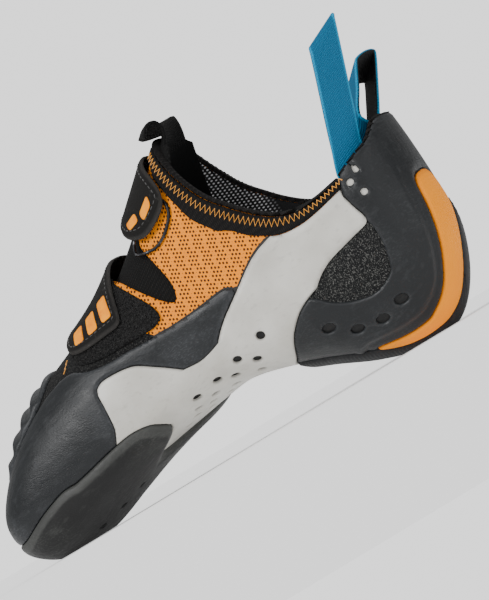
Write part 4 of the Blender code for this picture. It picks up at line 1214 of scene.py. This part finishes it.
def bent_sheet(name, middle, wall, finish, rounds=3):
    """A sheet of even thickness around a grid of points on its middle surface, made finer by rounds."""
    middle = np.asarray(middle, float)
    for axis in (0, 1):
        count = middle.shape[axis]
        grid = np.moveaxis(middle, axis, 0)
        padded = np.concatenate([2 * grid[:1] - grid[1:2], grid, 2 * grid[-1:] - grid[-2:-1]])
        at = np.linspace(0, count - 1, (count - 1) * rounds + 1)
        k = np.clip(at.astype(int), 0, count - 2)
        t = (at - k)[:, None, None]
        grid = catmull(*[padded[k + step] for step in range(4)], t)
        middle = np.moveaxis(grid, 0, axis)
    rows, columns = middle.shape[:2]
    out = np.cross(np.gradient(middle, axis=0), np.gradient(middle, axis=1))
    out /= np.linalg.norm(out, axis=-1, keepdims=True)
    thin = np.ones((1, columns, 1))
    thin[0, [0, -1]] = SHEET_EDGE_SHARE
    points = np.concatenate([(middle + out * (sign * wall) / 2 * thin).reshape(-1, 3) for sign in (-1, 1)])
    names = np.arange(rows * columns).reshape(rows, columns)
    half = rows * columns
    quads = np.stack([names[:-1, :-1], names[1:, :-1], names[1:, 1:], names[:-1, 1:]], -1).reshape(-1, 4)
    rim = np.array([*names[0], *names[1:, -1], *names[-1, -2::-1], *names[-2:0:-1, 0]])
    after = np.roll(rim, -1)
    faces = np.concatenate([quads, quads[:, ::-1] + half,
                            np.stack([rim, after, after + half, rim + half], 1)])
    length = run_length(middle[:, columns // 2])
    width = run_length(middle[rows // 2])
    uv = np.stack(np.broadcast_arrays(width[None, :], length[:, None]), -1).reshape(-1, 2)
    side = np.minimum(width, width[-1] - width)
    edges = np.broadcast_to(side[None, :], (rows, columns)).ravel()
    face = np.repeat([0.0, 1.0], half)
    return make_piece(name, points + SHOE_PLACE, faces, finish, np.concatenate([uv, uv]),
                      edge=np.concatenate([edges, edges]), outer=face)


def rolled_top():
    """Rows of the tongue's rolled edge."""
    share = np.linspace(-1, 1, 13)
    girth = 1 - (1 - TONGUE_ROLL_END) * np.abs(share)
    medial = halved(np.full_like(girth, INSTEP_SPAN[0]), np.full_like(girth, INSTEP_SPAN[1]),
                    lambda place: last_point(place, girth)[:, 2] > TONGUE_TOP)
    around = np.where(share < 0, medial, 6 - medial)
    foot = last_point(around, girth)
    out = last_normal(around, girth)
    up = np.cross(np.gradient(foot, axis=0), out)
    up /= np.linalg.norm(up, axis=1, keepdims=True)
    up *= np.sign(up[:, 2:])
    return [foot + out * (TONGUE_SEAT - TONGUE_WALL / 2 + forth * TONGUE_ROLL_HEIGHT)
            + up * (FITTING_GAP + rise * TONGUE_ROLL_HEIGHT) for forth, rise in TONGUE_ROLL]


def below_tongue_top(around, girth):
    """Under the roll, and at its ends cut back so that no corner stands out past it."""
    under = TONGUE_TOP - last_point(around, girth)[..., 2]
    return np.minimum(under, (girth - TONGUE_ROLL_END) * GIRTH_ARC + TONGUE_CORNER_SLOPE * under)


tongue_knit = knit("tongue_knit", rgb(12, 12, 12), rgb(40, 39, 38), 0.0010)
tongue_area = within_all(outline(TONGUE_OUTLINE), below_tongue_top)
tongue = skin("tongue", tongue_area, TONGUE_SEAT - TONGUE_WALL, TONGUE_WALL, tongue_knit, cell=0.0014)
dressed(tongue, "black_knit", "tongue")
tongue_roll = bent_sheet("tongue_roll", rolled_top(), TONGUE_WALL, tongue_knit)
dressed(tongue_roll, "black_knit", "tongue_roll")


# Collar binding and its zigzag seam
# A stretch knit tape is folded over the collar's edge, from the throat to the heel on each side, and
# sewn down with one golden zigzag seam.
BINDING_WALL = 0.0012
ZIGZAG_STEP = 0.0022
ZIGZAG_HALF = 0.0016
ZIGZAG_PLACE = 0.44          # how deep in the tape the seam runs, a share of the tape
ZIGZAG_FULL_DEPTH = 0.007    # the zigzag narrows where the tape is narrower than this
ZIGZAG_ENDS = (0.01, 0.03)   # how far it stops before the tape's ends, in steps of around
THREAD_RADIUS = 0.00030
THREAD_SINK = 0.4            # lift of a thread's middle, a share of its radius
RIM_RISE = 0.0011            # how far the tape's fold stands over the collar's edge
RIM_OVERLAP = 0.0001         # what the tape's fold leaves free above the tape
RIM_LOW = -UPPER_WALL - 0.0006


def girth_at_height(around, height):
    """Girth at which the last reaches a height above its widest line."""
    return halved(np.zeros_like(around), np.ones_like(around),
                  lambda place: last_point(around, place)[:, 2] < height)


def surface_thread(name, finish, around, girth, lift, radius, closed=False):
    """A thread or wire over points on the last, with a round section."""
    count = len(around)
    pairs = [(k, (k + 1) % count) for k in range(count if closed else count - 1)]
    return kept_mesh(new_object(name, on_shoe(around, girth, lift), pairs), thread_tree(finish),
                     {"Thread radius": radius})


def node_tree(name, inputs, nodes, links, finish):
    """Geometry Nodes from lists: a node is (kind, settings, values), a link "node.output > node.input".

    The group's own inputs are the outputs of the node called in. The first is the geometry, the others
    are numbers. What the last node makes is turned into real mesh and given the finish.
    """
    tree = bpy.data.node_groups.new(name, "GeometryNodeTree")
    for place, label in enumerate(inputs):
        kind = "NodeSocketFloat" if place else "NodeSocketGeometry"
        tree.interface.new_socket(label, in_out="INPUT", socket_type=kind)
    tree.interface.new_socket("Mesh", in_out="OUTPUT", socket_type="NodeSocketGeometry")
    made = {"in": tree.nodes.new("NodeGroupInput")}
    for label, (kind, settings, values) in nodes.items():
        made[label] = tree.nodes.new(kind)
        for setting, value in settings.items():
            setattr(made[label], setting, value)
        for socket, value in values.items():
            made[label].inputs[socket].default_value = value
    real = tree.nodes.new("GeometryNodeRealizeInstances")
    dress = tree.nodes.new("GeometryNodeSetMaterial")
    dress.inputs["Material"].default_value = finish
    target = tree.nodes.new("NodeGroupOutput")
    for link in links:
        (source, out), (goal, socket) = (end.split(".") for end in link.split(" > "))
        out, socket = (int(name) if name.isdigit() else name for name in (out, socket))
        tree.links.new(made[source].outputs[out], made[goal].inputs[socket])
    tree.links.new(made[label].outputs[0], real.inputs[0])
    tree.links.new(real.outputs[0], dress.inputs["Geometry"])
    tree.links.new(dress.outputs[0], target.inputs[0])
    return tree


def thread_tree(finish):
    """Geometry Nodes: each line of the mesh becomes a round thread."""
    nodes = {
        "line": ("GeometryNodeMeshToCurve", {}, {}),
        "ring": ("GeometryNodeCurvePrimitiveCircle", {}, {"Resolution": 6}),
        "sweep": ("GeometryNodeCurveToMesh", {}, {"Fill Caps": True}),
    }
    links = ("in.Lines > line.Mesh",
             "in.Thread radius > ring.Radius",
             "line.0 > sweep.Curve",
             "ring.0 > sweep.Profile Curve")
    return node_tree("sewing_thread", ("Lines", "Thread radius"), nodes, links, finish)


def kept_mesh(made, tree, values):
    """Runs a node group on an object with its named inputs and keeps the result as a plain mesh."""
    modifier = made.modifiers.new("nodes", "NODES")
    modifier.node_group = tree
    for socket in tree.interface.items_tree:
        if socket.name in values:
            modifier[socket.identifier] = values[socket.name]
    graph = bpy.context.evaluated_depsgraph_get()
    shape = bpy.data.meshes.new_from_object(made.evaluated_get(graph))
    made.modifiers.remove(modifier)
    made.data = shape
    shape.shade_smooth()
    return made


def thread(name, tone):
    """Twisted polyester thread."""
    made = Finish(name, Roughness=0.45, Sheen_Weight=0.3)
    made.colour(made.mix(made.noise(1800.0, 2.0), tone, tuple(0.72 * c for c in tone[:3]) + (1.0,)))
    made.bump(made.noise(2600.0, 2.0), 0.0001)
    return made.material


def by_hand(turn, side):
    """Around on the side of that name."""
    return turn if side == "medial" else 6 - turn


def zigzag(name, side):
    """The zigzag seam along the binding, on the medial or the lateral side."""
    turn = np.linspace(TAPE_FROM + ZIGZAG_ENDS[0], TAPE_TO - ZIGZAG_ENDS[1], 2400)
    slope = collar_slope(turn)
    around = by_hand(turn, side)
    run = last_point(around, girth_at_height(around, collar_height(turn)))
    length = run_length(run)
    corners = np.arange(0, length[-1], ZIGZAG_STEP / 2)
    at = np.interp(corners, length, turn)
    lean = np.interp(corners, length, slope)
    deep = tape_depth(at)
    way = np.where(np.arange(len(corners)) % 2 == 0, 1, -1)
    swing = np.minimum(1.0, deep / ZIGZAG_FULL_DEPTH) * ZIGZAG_HALF * way
    off = (deep * ZIGZAG_PLACE + swing) / np.sqrt(1 + lean**2)
    level = collar_height(at) - off
    at = at + off * lean / SIDE_ARC
    around = by_hand(at, side)
    girth = girth_at_height(around, level)
    return surface_thread(name, gold_thread, around, girth,
                          FITTING_GAP + BINDING_WALL + THREAD_RADIUS * THREAD_SINK, THREAD_RADIUS)


binding_knit = knit("binding_knit", rgb(16, 15, 15), rgb(46, 42, 40), 0.0009)
binding_part = clear_of(tape_area, heel_cup_area, throat)
for side, part in (("medial", medial_only(binding_part)), ("lateral", by_side(nowhere, binding_part))):
    binding = skin("collar_binding_" + side, part, FITTING_GAP, BINDING_WALL, binding_knit, cell=0.0010,
                   whole=True)
    dressed(binding, "black_knit", "collar_binding_" + side)


def rim_area(around, girth):
    """The fold of the tape, over the collar's edge."""
    below = below_collar(around, girth)
    ends = (TAPE_TO - mirrored(around)) * SIDE_ARC
    return np.min([below + RIM_RISE, TAPE_FOLD - RIM_OVERLAP - below, ends], axis=0)


collar_rim = skin("collar_rim", rim_area, RIM_LOW, FITTING_GAP + BINDING_WALL - RIM_LOW, binding_knit,
                  cell=0.0009, rounded=0.0008, whole=True)
dressed(collar_rim, "black_knit")
gold_thread = thread("gold_thread", rgb(240, 160, 40))
for side in ("medial", "lateral"):
    dressed(zigzag("zigzag_" + side, side), "orange_mesh")


# Edge seams
# Rows of short stitches of thick grey-black thread run inside the straps' edges. A short tack of
# orange thread shows on the cloth over the toes.
STITCH_LENGTH = 0.0019
STITCH_PITCH = 0.0027
STITCH_RADIUS = 0.00028
TACK_LIFT = 0.0001
SEAM_INSET = 0.0021


def stitch_tree(finish):
    """Geometry Nodes: stitches of one length at an even pitch along lines."""
    nodes = {
        "line": ("GeometryNodeMeshToCurve", {}, {}),
        "places": ("GeometryNodeCurveToPoints", {"mode": "LENGTH"}, {}),
        "ball": ("GeometryNodeMeshUVSphere", {}, {"Segments": 6, "Rings": 6, "Radius": 1.0}),
        "size": ("ShaderNodeCombineXYZ", {}, {}),
        "half": ("ShaderNodeMath", {"operation": "MULTIPLY"}, {1: 0.5}),
        "shape": ("GeometryNodeTransform", {}, {}),
        "spread": ("GeometryNodeInstanceOnPoints", {}, {}),
    }
    links = ("in.Lines > line.Mesh",
             "line.0 > places.Curve",
             "in.Pitch > places.Length",
             "in.Length > half.0",
             "in.Radius > size.0",
             "in.Radius > size.1",
             "half.0 > size.2",
             "ball.Mesh > shape.Geometry",
             "size.0 > shape.Scale",
             "places.Points > spread.Points",
             "places.Rotation > spread.Rotation",
             "shape.0 > spread.Instance")
    return node_tree("stitch_row", ("Lines", "Pitch", "Length", "Radius"), nodes, links, finish)


def seam(name, within, lift, finish, slot):
    """A row of stitches inside the edge of a region, lift above the last."""
    around, girth, _, _, rim = sheet_on_last(grown(within, -SEAM_INSET), 0.0012)
    used, rim = np.unique(rim, return_inverse=True)
    made = new_object(name, on_shoe(around[used], girth[used], lift), rim.reshape(-1, 2))
    values = {"Pitch": STITCH_PITCH, "Length": STITCH_LENGTH, "Radius": STITCH_RADIUS}
    dressed(kept_mesh(made, stitch_tree(finish), values), slot)


black_thread = thread("black_thread", rgb(44, 43, 42))
TOE_TACK = ((1.893, 0.665), (1.899, 0.640), (1.894, 0.630), (1.903, 0.605), (1.898, 0.595), (1.908, 0.570))
dressed(surface_thread("toe_tack", gold_thread, *np.array(TOE_TACK).T, TACK_LIFT, THREAD_RADIUS),
        "orange_mesh")


# Pile patch
# Black looped pile with loose fibres, which the lower strap presses onto. It is sewn on the medial
# side of the vamp, above the rand.
PILE_WALL = 0.0014
PILE_FIBRES = 3.6e6          # in a square metre
PILE_FIBRE_LENGTH = 0.0009
PILE_FIBRE_ROOT = 0.9        # height at which the fibres start, a share of the pile
PILE_FIBRE_INSET = 0.0004
PILE_WAVE_RISE = 0.00035
PILE_OUTLINE = (
    (1.572, 0.235), (1.60, 0.212), (1.65, 0.245), (1.70, 0.29), (1.75, 0.335), (1.80, 0.39),
    (1.84, 0.45), (1.87, 0.57), (1.87, 0.74), (1.68, 0.74), (1.675, 0.62), (1.63, 0.43),
)


def looped_pile():
    """Matt black pile whose loops show as fuzzy lumps."""
    made = Finish("looped_pile", Roughness=1.0, Specular_IOR_Level=0.15)
    lumps = made.add("ShaderNodeTexVoronoi", Vector=made.place, Scale=900.0)
    fuzz = made.noise(2200.0, 5.0)
    made.colour(made.mix(made.times(fuzz, lumps), rgb(8, 8, 8), rgb(62, 62, 62)))
    made.bump(lumps, 0.0009)
    made.bump(fuzz, 0.0006)
    return made.material


def pile_lumps(point, around, girth, edge):
    """Small uneven waves of the pile."""
    bent = point[:, 0] * 2100 + 3 * np.sin(point[:, 2] * 900)
    return PILE_WAVE_RISE * np.sin(bent) * np.sin(point[:, 2] * 1900)


pile_area = medial_only(clear_of(outline(PILE_OUTLINE), toe_rand_area, solid_band))
pile = skin("pile_patch", pile_area, FITTING_GAP, PILE_WALL, looped_pile(), cell=0.0008, relief=pile_lumps)
dressed(pile, "black_pile", "pile_patch")


def fibre_tree(finish):
    """Geometry Nodes: bent fibres scattered over the faces that look outwards."""
    arc = {"Resolution": 3, "Start": (0, 0, -0.1), "Start Handle": (0, 0, 0.5),
           "End Handle": (0.3, 0, 0.9), "End": (0.8, 0, 0.7)}
    turn = {"Min": (-0.5, -0.5, -3.14), "Max": (0.5, 0.5, 3.14), "Seed": 11}
    nodes = {
        "scatter": ("GeometryNodeDistributePointsOnFaces", {}, {"Seed": 7}),
        "arc": ("GeometryNodeCurvePrimitiveBezierSegment", {}, arc),
        "ring": ("GeometryNodeCurvePrimitiveCircle", {}, {"Resolution": 3, "Radius": 0.07}),
        "hair": ("GeometryNodeCurveToMesh", {}, {}),
        "turn": ("FunctionNodeRandomValue", {"data_type": "FLOAT_VECTOR"}, turn),
        "join": ("FunctionNodeRotateRotation", {"rotation_space": "LOCAL"}, {}),
        "euler": ("FunctionNodeEulerToRotation", {}, {}),
        "spread": ("GeometryNodeInstanceOnPoints", {}, {}),
    }
    links = ("in.Cloth > scatter.Mesh",
             "in.Fibres per square metre > scatter.Density",
             "arc.0 > hair.Curve",
             "ring.0 > hair.Profile Curve",
             "turn.0 > euler.0",
             "scatter.Rotation > join.Rotation",
             "euler.0 > join.Rotate By",
             "scatter.Points > spread.Points",
             "hair.0 > spread.Instance",
             "join.0 > spread.Rotation",
             "in.Fibre length > spread.Scale")
    inputs = ("Cloth", "Fibres per square metre", "Fibre length")
    return node_tree("pile_fibres", inputs, nodes, links, finish)


def pile_fibres():
    """Loose loops of the pile over its outer face."""
    around, girth, _, sheet, _ = sheet_on_last(grown(pile_area, -PILE_FIBRE_INSET), 0.0016)
    root = FITTING_GAP + PILE_WALL * PILE_FIBRE_ROOT
    made = new_object("pile_fibres", on_shoe(around, girth, root), faces=sheet)
    hair = Finish("pile_fibre", Roughness=0.8, Specular_IOR_Level=0.3)
    hair.colour(hair.mix(hair.noise(700.0, 2.0), rgb(10, 10, 10), rgb(70, 69, 68)))
    return kept_mesh(made, fibre_tree(hair.material),
                     {"Fibres per square metre": PILE_FIBRES, "Fibre length": PILE_FIBRE_LENGTH})


dressed(pile_fibres(), "black_pile")


# Straps and ring
# Two closure straps of coated black microfibre, sewn on at the lateral side, with plain orange bars
# printed in raised rubber near their ends. A blackened wire ring guides the upper one.
STRAP_WALL = 0.0018
RING_WIRE = 0.0016
FACET_SAG = 0.0007
STRAP_CLEARANCE = 2 * FITTING_GAP + FACET_SAG
STRAP_UPPER_SEAT = RING_WIRE + STRAP_CLEARANCE
STRAP_LOWER_SEAT = PILE_WALL + STRAP_CLEARANCE
STRAP_ROOT_GIRTH = 0.26
BAR_CORNER = 0.0006
BAR_WALL = 0.0005
UPPER_BAR_PLACES = (
    ((1.452, 0.50), (1.490, 0.50), (1.494, 0.545), (1.450, 0.545)),
    ((1.505, 0.535), (1.540, 0.565), (1.545, 0.62), (1.506, 0.585)),
)
LOWER_BAR_PLACES = (
    ((1.690, 0.43), (1.724, 0.46), (1.724, 0.60), (1.690, 0.57)),
    ((1.742, 0.475), (1.776, 0.50), (1.776, 0.63), (1.742, 0.61)),
    ((1.794, 0.515), (1.826, 0.545), (1.828, 0.66), (1.794, 0.645)),
)
STRAP_UPPER_OUTLINE = (
    (1.445, 1.05), (1.44, 0.70), (1.425, 0.58), (1.415, 0.49), (1.43, 0.445), (1.50, 0.455),
    (1.535, 0.50), (1.565, 0.58), (1.578, 0.70), (1.58, 1.05),
)
STRAP_LOWER_OUTLINE = (
    (1.665, 1.05), (1.665, 0.66), (1.67, 0.52), (1.675, 0.39), (1.69, 0.37), (1.74, 0.42),
    (1.80, 0.47), (1.845, 0.53), (1.865, 0.62), (1.87, 1.05),
)
STRAP_UPPER_ROOT = ((1.445, 1.05), (1.445, 0.05), (1.58, 0.05), (1.58, 1.05))
STRAP_LOWER_ROOT = ((1.665, 1.05), (1.665, 0.05), (1.87, 0.05), (1.87, 1.05))
RING_PLACES = (
    (1.437, 0.415), (1.47, 0.40), (1.505, 0.41), (1.54, 0.45), (1.565, 0.50), (1.563, 0.545),
    (1.545, 0.565), (1.515, 0.535), (1.48, 0.505), (1.45, 0.495), (1.43, 0.48), (1.425, 0.44),
)


def coated_strap():
    """Matt black coated microfibre with a fine woven grain and lint."""
    made = Finish("coated_strap", Roughness=0.92, Specular_IOR_Level=0.2)
    weave = made.noise(1500.0, 4.0, stretch=(1, 1, 2.5))
    lint = made.between(made.noise(500.0, 6.0), 0.62, 0.75, 0.0, 0.5)
    edge_tone = made.edge_band(0.0009, 0.6)
    made.colour(made.mix(made.plus(lint, edge_tone), rgb(22, 21, 20), rgb(66, 64, 62)))
    made.bump(weave, 0.0003)
    return made.material


def printed_orange():
    """Raised orange print of a slightly uneven tone."""
    made = Finish("printed_orange", Roughness=0.6, Specular_IOR_Level=0.15)
    rubbed = made.between(made.noise(260.0, 5.0), 0.4, 0.7)
    made.colour(made.mix(rubbed, rgb(255, 158, 0), rgb(240, 132, 0)))
    made.bump(made.noise(900.0, 4.0), 0.0001)
    return made.material


def strap_area(medial_end, root):
    """A strap from its free medial end to where it is sewn on the lateral side."""
    lateral = within_all(outline(root), above_girth(STRAP_ROOT_GIRTH))
    return clear_of(by_side(outline(medial_end), lateral), solid_band, toe_rand_area)


strap_black = coated_strap()
orange_print = printed_orange()
straps = (("strap_upper", STRAP_UPPER_OUTLINE, STRAP_UPPER_ROOT, STRAP_UPPER_SEAT, UPPER_BAR_PLACES),
          ("strap_lower", STRAP_LOWER_OUTLINE, STRAP_LOWER_ROOT, STRAP_LOWER_SEAT, LOWER_BAR_PLACES))
for name, free_end, root, seat, bars in straps:
    strap = skin(name, strap_area(free_end, root), seat, STRAP_WALL, strap_black, cell=0.0010,
                 rounded=0.0010)
    dressed(strap, "black_webbing", name)
    seam(name + "_stitches", strap_area(free_end, root), seat + STRAP_WALL, black_thread, "black_webbing")
    for count, bar in enumerate(bars):
        made = skin(f"{name}_bar_{count + 1}", medial_only(outline(bar, BAR_CORNER)), seat + STRAP_WALL,
                    BAR_WALL, orange_print, cell=0.0006, rounded=0.0005)
        dressed(made, "orange_rubber")


def blackened_wire():
    """Blackened steel wire, rubbed bright in places."""
    made = Finish("blackened_wire", Metallic=1.0)
    rub = made.noise(300.0, 5.0)
    made.colour(made.mix(made.between(rub, 0.55, 0.75), rgb(48, 48, 50), rgb(130, 130, 132)))
    made.rough(made.between(rub, 0.3, 0.7, 0.5, 0.28))
    made.bump(made.noise(1500.0, 3.0), 0.00005)
    return made.material


def ring_wire():
    """The rounded oblong ring that lies on the upper under the strap's end."""
    places = np.array(RING_PLACES)
    count = len(places)
    at = np.linspace(0, count, 97)[:-1]
    k = at.astype(int)
    t = (at - k)[:, None]
    path = catmull(*[places[(k + step) % count] for step in (-1, 0, 1, 2)], t)
    return surface_thread("strap_ring", blackened_wire(), *path.T, FITTING_GAP + RING_WIRE / 2,
                          RING_WIRE / 2, closed=True)


dressed(ring_wire(), "dark_wire", "strap_ring")


# Pull loops
# Two loops of 18 mm woven teal webbing, black on the inside, each a tape bent over at the top. Their
# ends are sewn into the collar beside the heel.
LOOP_WIDTH = 0.0185
LOOP_WALL = 0.0016
LOOP_ROOT = 0.0090
LOOP_RIM = 0.0025
PULL_LOOPS = (
    # name, around, height, lean, opening
    ("pull_loop_medial", 0.76, 0.0500, (0.0190, -0.0030), 0.0012),
    ("pull_loop_lateral", 5.36, 0.0300, (0.0130, 0.0090), 0.0110),
)
LOOP_TURNS = (35, 90, 145)   # degrees around the top at which the tape is bent
LOOP_LEG_SHARES = (0.25, 0.6, 0.9)
LOOP_TOP_SHARE = 0.93        # height at which the bend over the top starts


def teal_webbing():
    """Plain woven webbing: fine cross ribs, brighter selvedges, black on the inner face."""
    made = Finish("teal_webbing", Roughness=0.7, Specular_IOR_Level=0.25)
    flat = made.flat(1000.0)
    weave = made.times(made.wave(flat, 0.26, across=True, Distortion=0.5, Detail=1.0),
                       made.wave(flat, 0.50, Distortion=0.4))
    tone = made.mix(weave, rgb(0, 80, 118), rgb(2, 140, 184))
    selvedge = made.between(made.attribute("edge"), 0.0008, 0.0016, 0.7, 0.0)
    teal = made.mix(selvedge, tone, rgb(8, 156, 204))
    made.colour(made.mix(made.attribute("outer"), rgb(12, 12, 13), teal))
    made.bump(weave, 0.00035)
    return made.material


def loop_rows(middle_around, height, lean, opening):
    """Rows of a tape loop: up from its outer leg, over the top, down its inner leg."""
    reach = np.linspace(-0.5, 0.5, 9) * LOOP_WIDTH
    centre = np.array([middle_around])
    pace = np.linalg.norm(last_point(centre + 0.01, 0.3) - last_point(centre - 0.01, 0.3)) / 0.02
    around = middle_around + reach / pace
    edge = collar_height(mirrored(np.mod(around, 6)))
    lining = -(UPPER_WALL + FITTING_GAP + FACET_SAG + LOOP_WALL / 2)
    rows = []
    for depth in (LOOP_ROOT, LOOP_ROOT / 2, -LOOP_RIM):
        girth = girth_at_height(around, edge - depth)
        rows.append(last_point(around, girth) + last_normal(around, girth) * lining)
    foot = rows[-1]
    inward = -last_normal(around, girth_at_height(around, edge))
    inward[:, 2] = 0
    inward /= np.linalg.norm(inward, axis=1, keepdims=True)
    width_way = (foot[-1] - foot[0]) / np.linalg.norm(foot[-1] - foot[0])
    straight = foot.mean(axis=0) + reach[:, None] * width_way
    in_way = inward.mean(axis=0)
    in_way /= np.linalg.norm(in_way)
    top = np.array([lean[0], lean[1], height])
    leg = [foot * (1 - share)**2 + straight * (1 - (1 - share)**2) + top * share
           for share in LOOP_LEG_SHARES]
    rows += leg
    spread = opening + LOOP_WALL
    for degrees in LOOP_TURNS:
        turn = math.radians(degrees)
        rows.append(straight + top * LOOP_TOP_SHARE + in_way * spread / 2 * (1 - math.cos(turn))
                    + top * (1 - LOOP_TOP_SHARE) * math.sin(turn))
    rows += [row + in_way * spread for row in reversed(leg)]
    narrow = LOOP_WALL + FITTING_GAP
    rows.append(foot + inward * narrow)
    girth = girth_at_height(around, edge - LOOP_ROOT)
    rows.append(last_point(around, girth) + inward * (narrow - lining))
    return rows


teal = teal_webbing()
for name, *loop in PULL_LOOPS:
    dressed(bent_sheet(name, loop_rows(*loop), LOOP_WALL, teal, rounds=4), "teal_webbing", name)


# Floor and light
# A plain pale floor under soft suns from the front and above, in a bright even surround whose tone
# matches the floor.
FLOOR_REACH = 30.0
FLOOR_PLACE = -0.0002
SURROUND_LIGHT = 0.50        # how strongly the surround lights the shoe
SURROUND_SEEN = 1.58         # how bright it looks
LAMPS = (
    # name, direction it comes from, softness in degrees, strength
    ("key_light", (-0.5, -1.1, 0.9), 30, 2.5),
    ("fill_light", (0.9, -0.9, 0.35), 50, 0.7),
    ("top_light", (0.2, 0.6, 1.4), 60, 0.8),
)


def make_stage():
    """The pale floor, the soft lights and a bright even surround."""
    corners = [(x * FLOOR_REACH, y * FLOOR_REACH, FLOOR_PLACE)
               for x, y in ((-1, -1), (1, -1), (1, 1), (-1, 1))]
    floor = new_object("floor", corners, faces=[(0, 1, 2, 3)])
    pale = Finish("pale_floor", Roughness=1.0, Specular_IOR_Level=0.0, Base_Color=(0.90, 0.90, 0.90, 1),
                  Emission_Color=(1, 1, 1, 1), Emission_Strength=0.30)
    floor.data.materials.append(pale.material)
    for name, way, softness, strength in LAMPS:
        lamp = bpy.data.lights.new(name, "SUN")
        lamp.energy = strength
        lamp.angle = math.radians(softness)
        made = bpy.data.objects.new(name, lamp)
        made.rotation_mode = "QUATERNION"
        made.rotation_quaternion = Vector(way).to_track_quat("Z", "Y")
        bpy.context.scene.collection.objects.link(made)
    world = bpy.data.worlds.new("studio")
    world.use_nodes = True
    nodes, links = world.node_tree.nodes, world.node_tree.links
    nodes["Background"].inputs["Color"].default_value = (1, 1, 1, 1)
    seen = nodes.new("ShaderNodeLightPath").outputs["Is Camera Ray"]
    strength = nodes.new("ShaderNodeMapRange")
    strength.inputs["To Min"].default_value = SURROUND_LIGHT
    strength.inputs["To Max"].default_value = SURROUND_SEEN
    links.new(seen, strength.inputs["Value"])
    links.new(strength.outputs[0], nodes["Background"].inputs["Strength"])
    bpy.context.scene.world = world


make_stage()
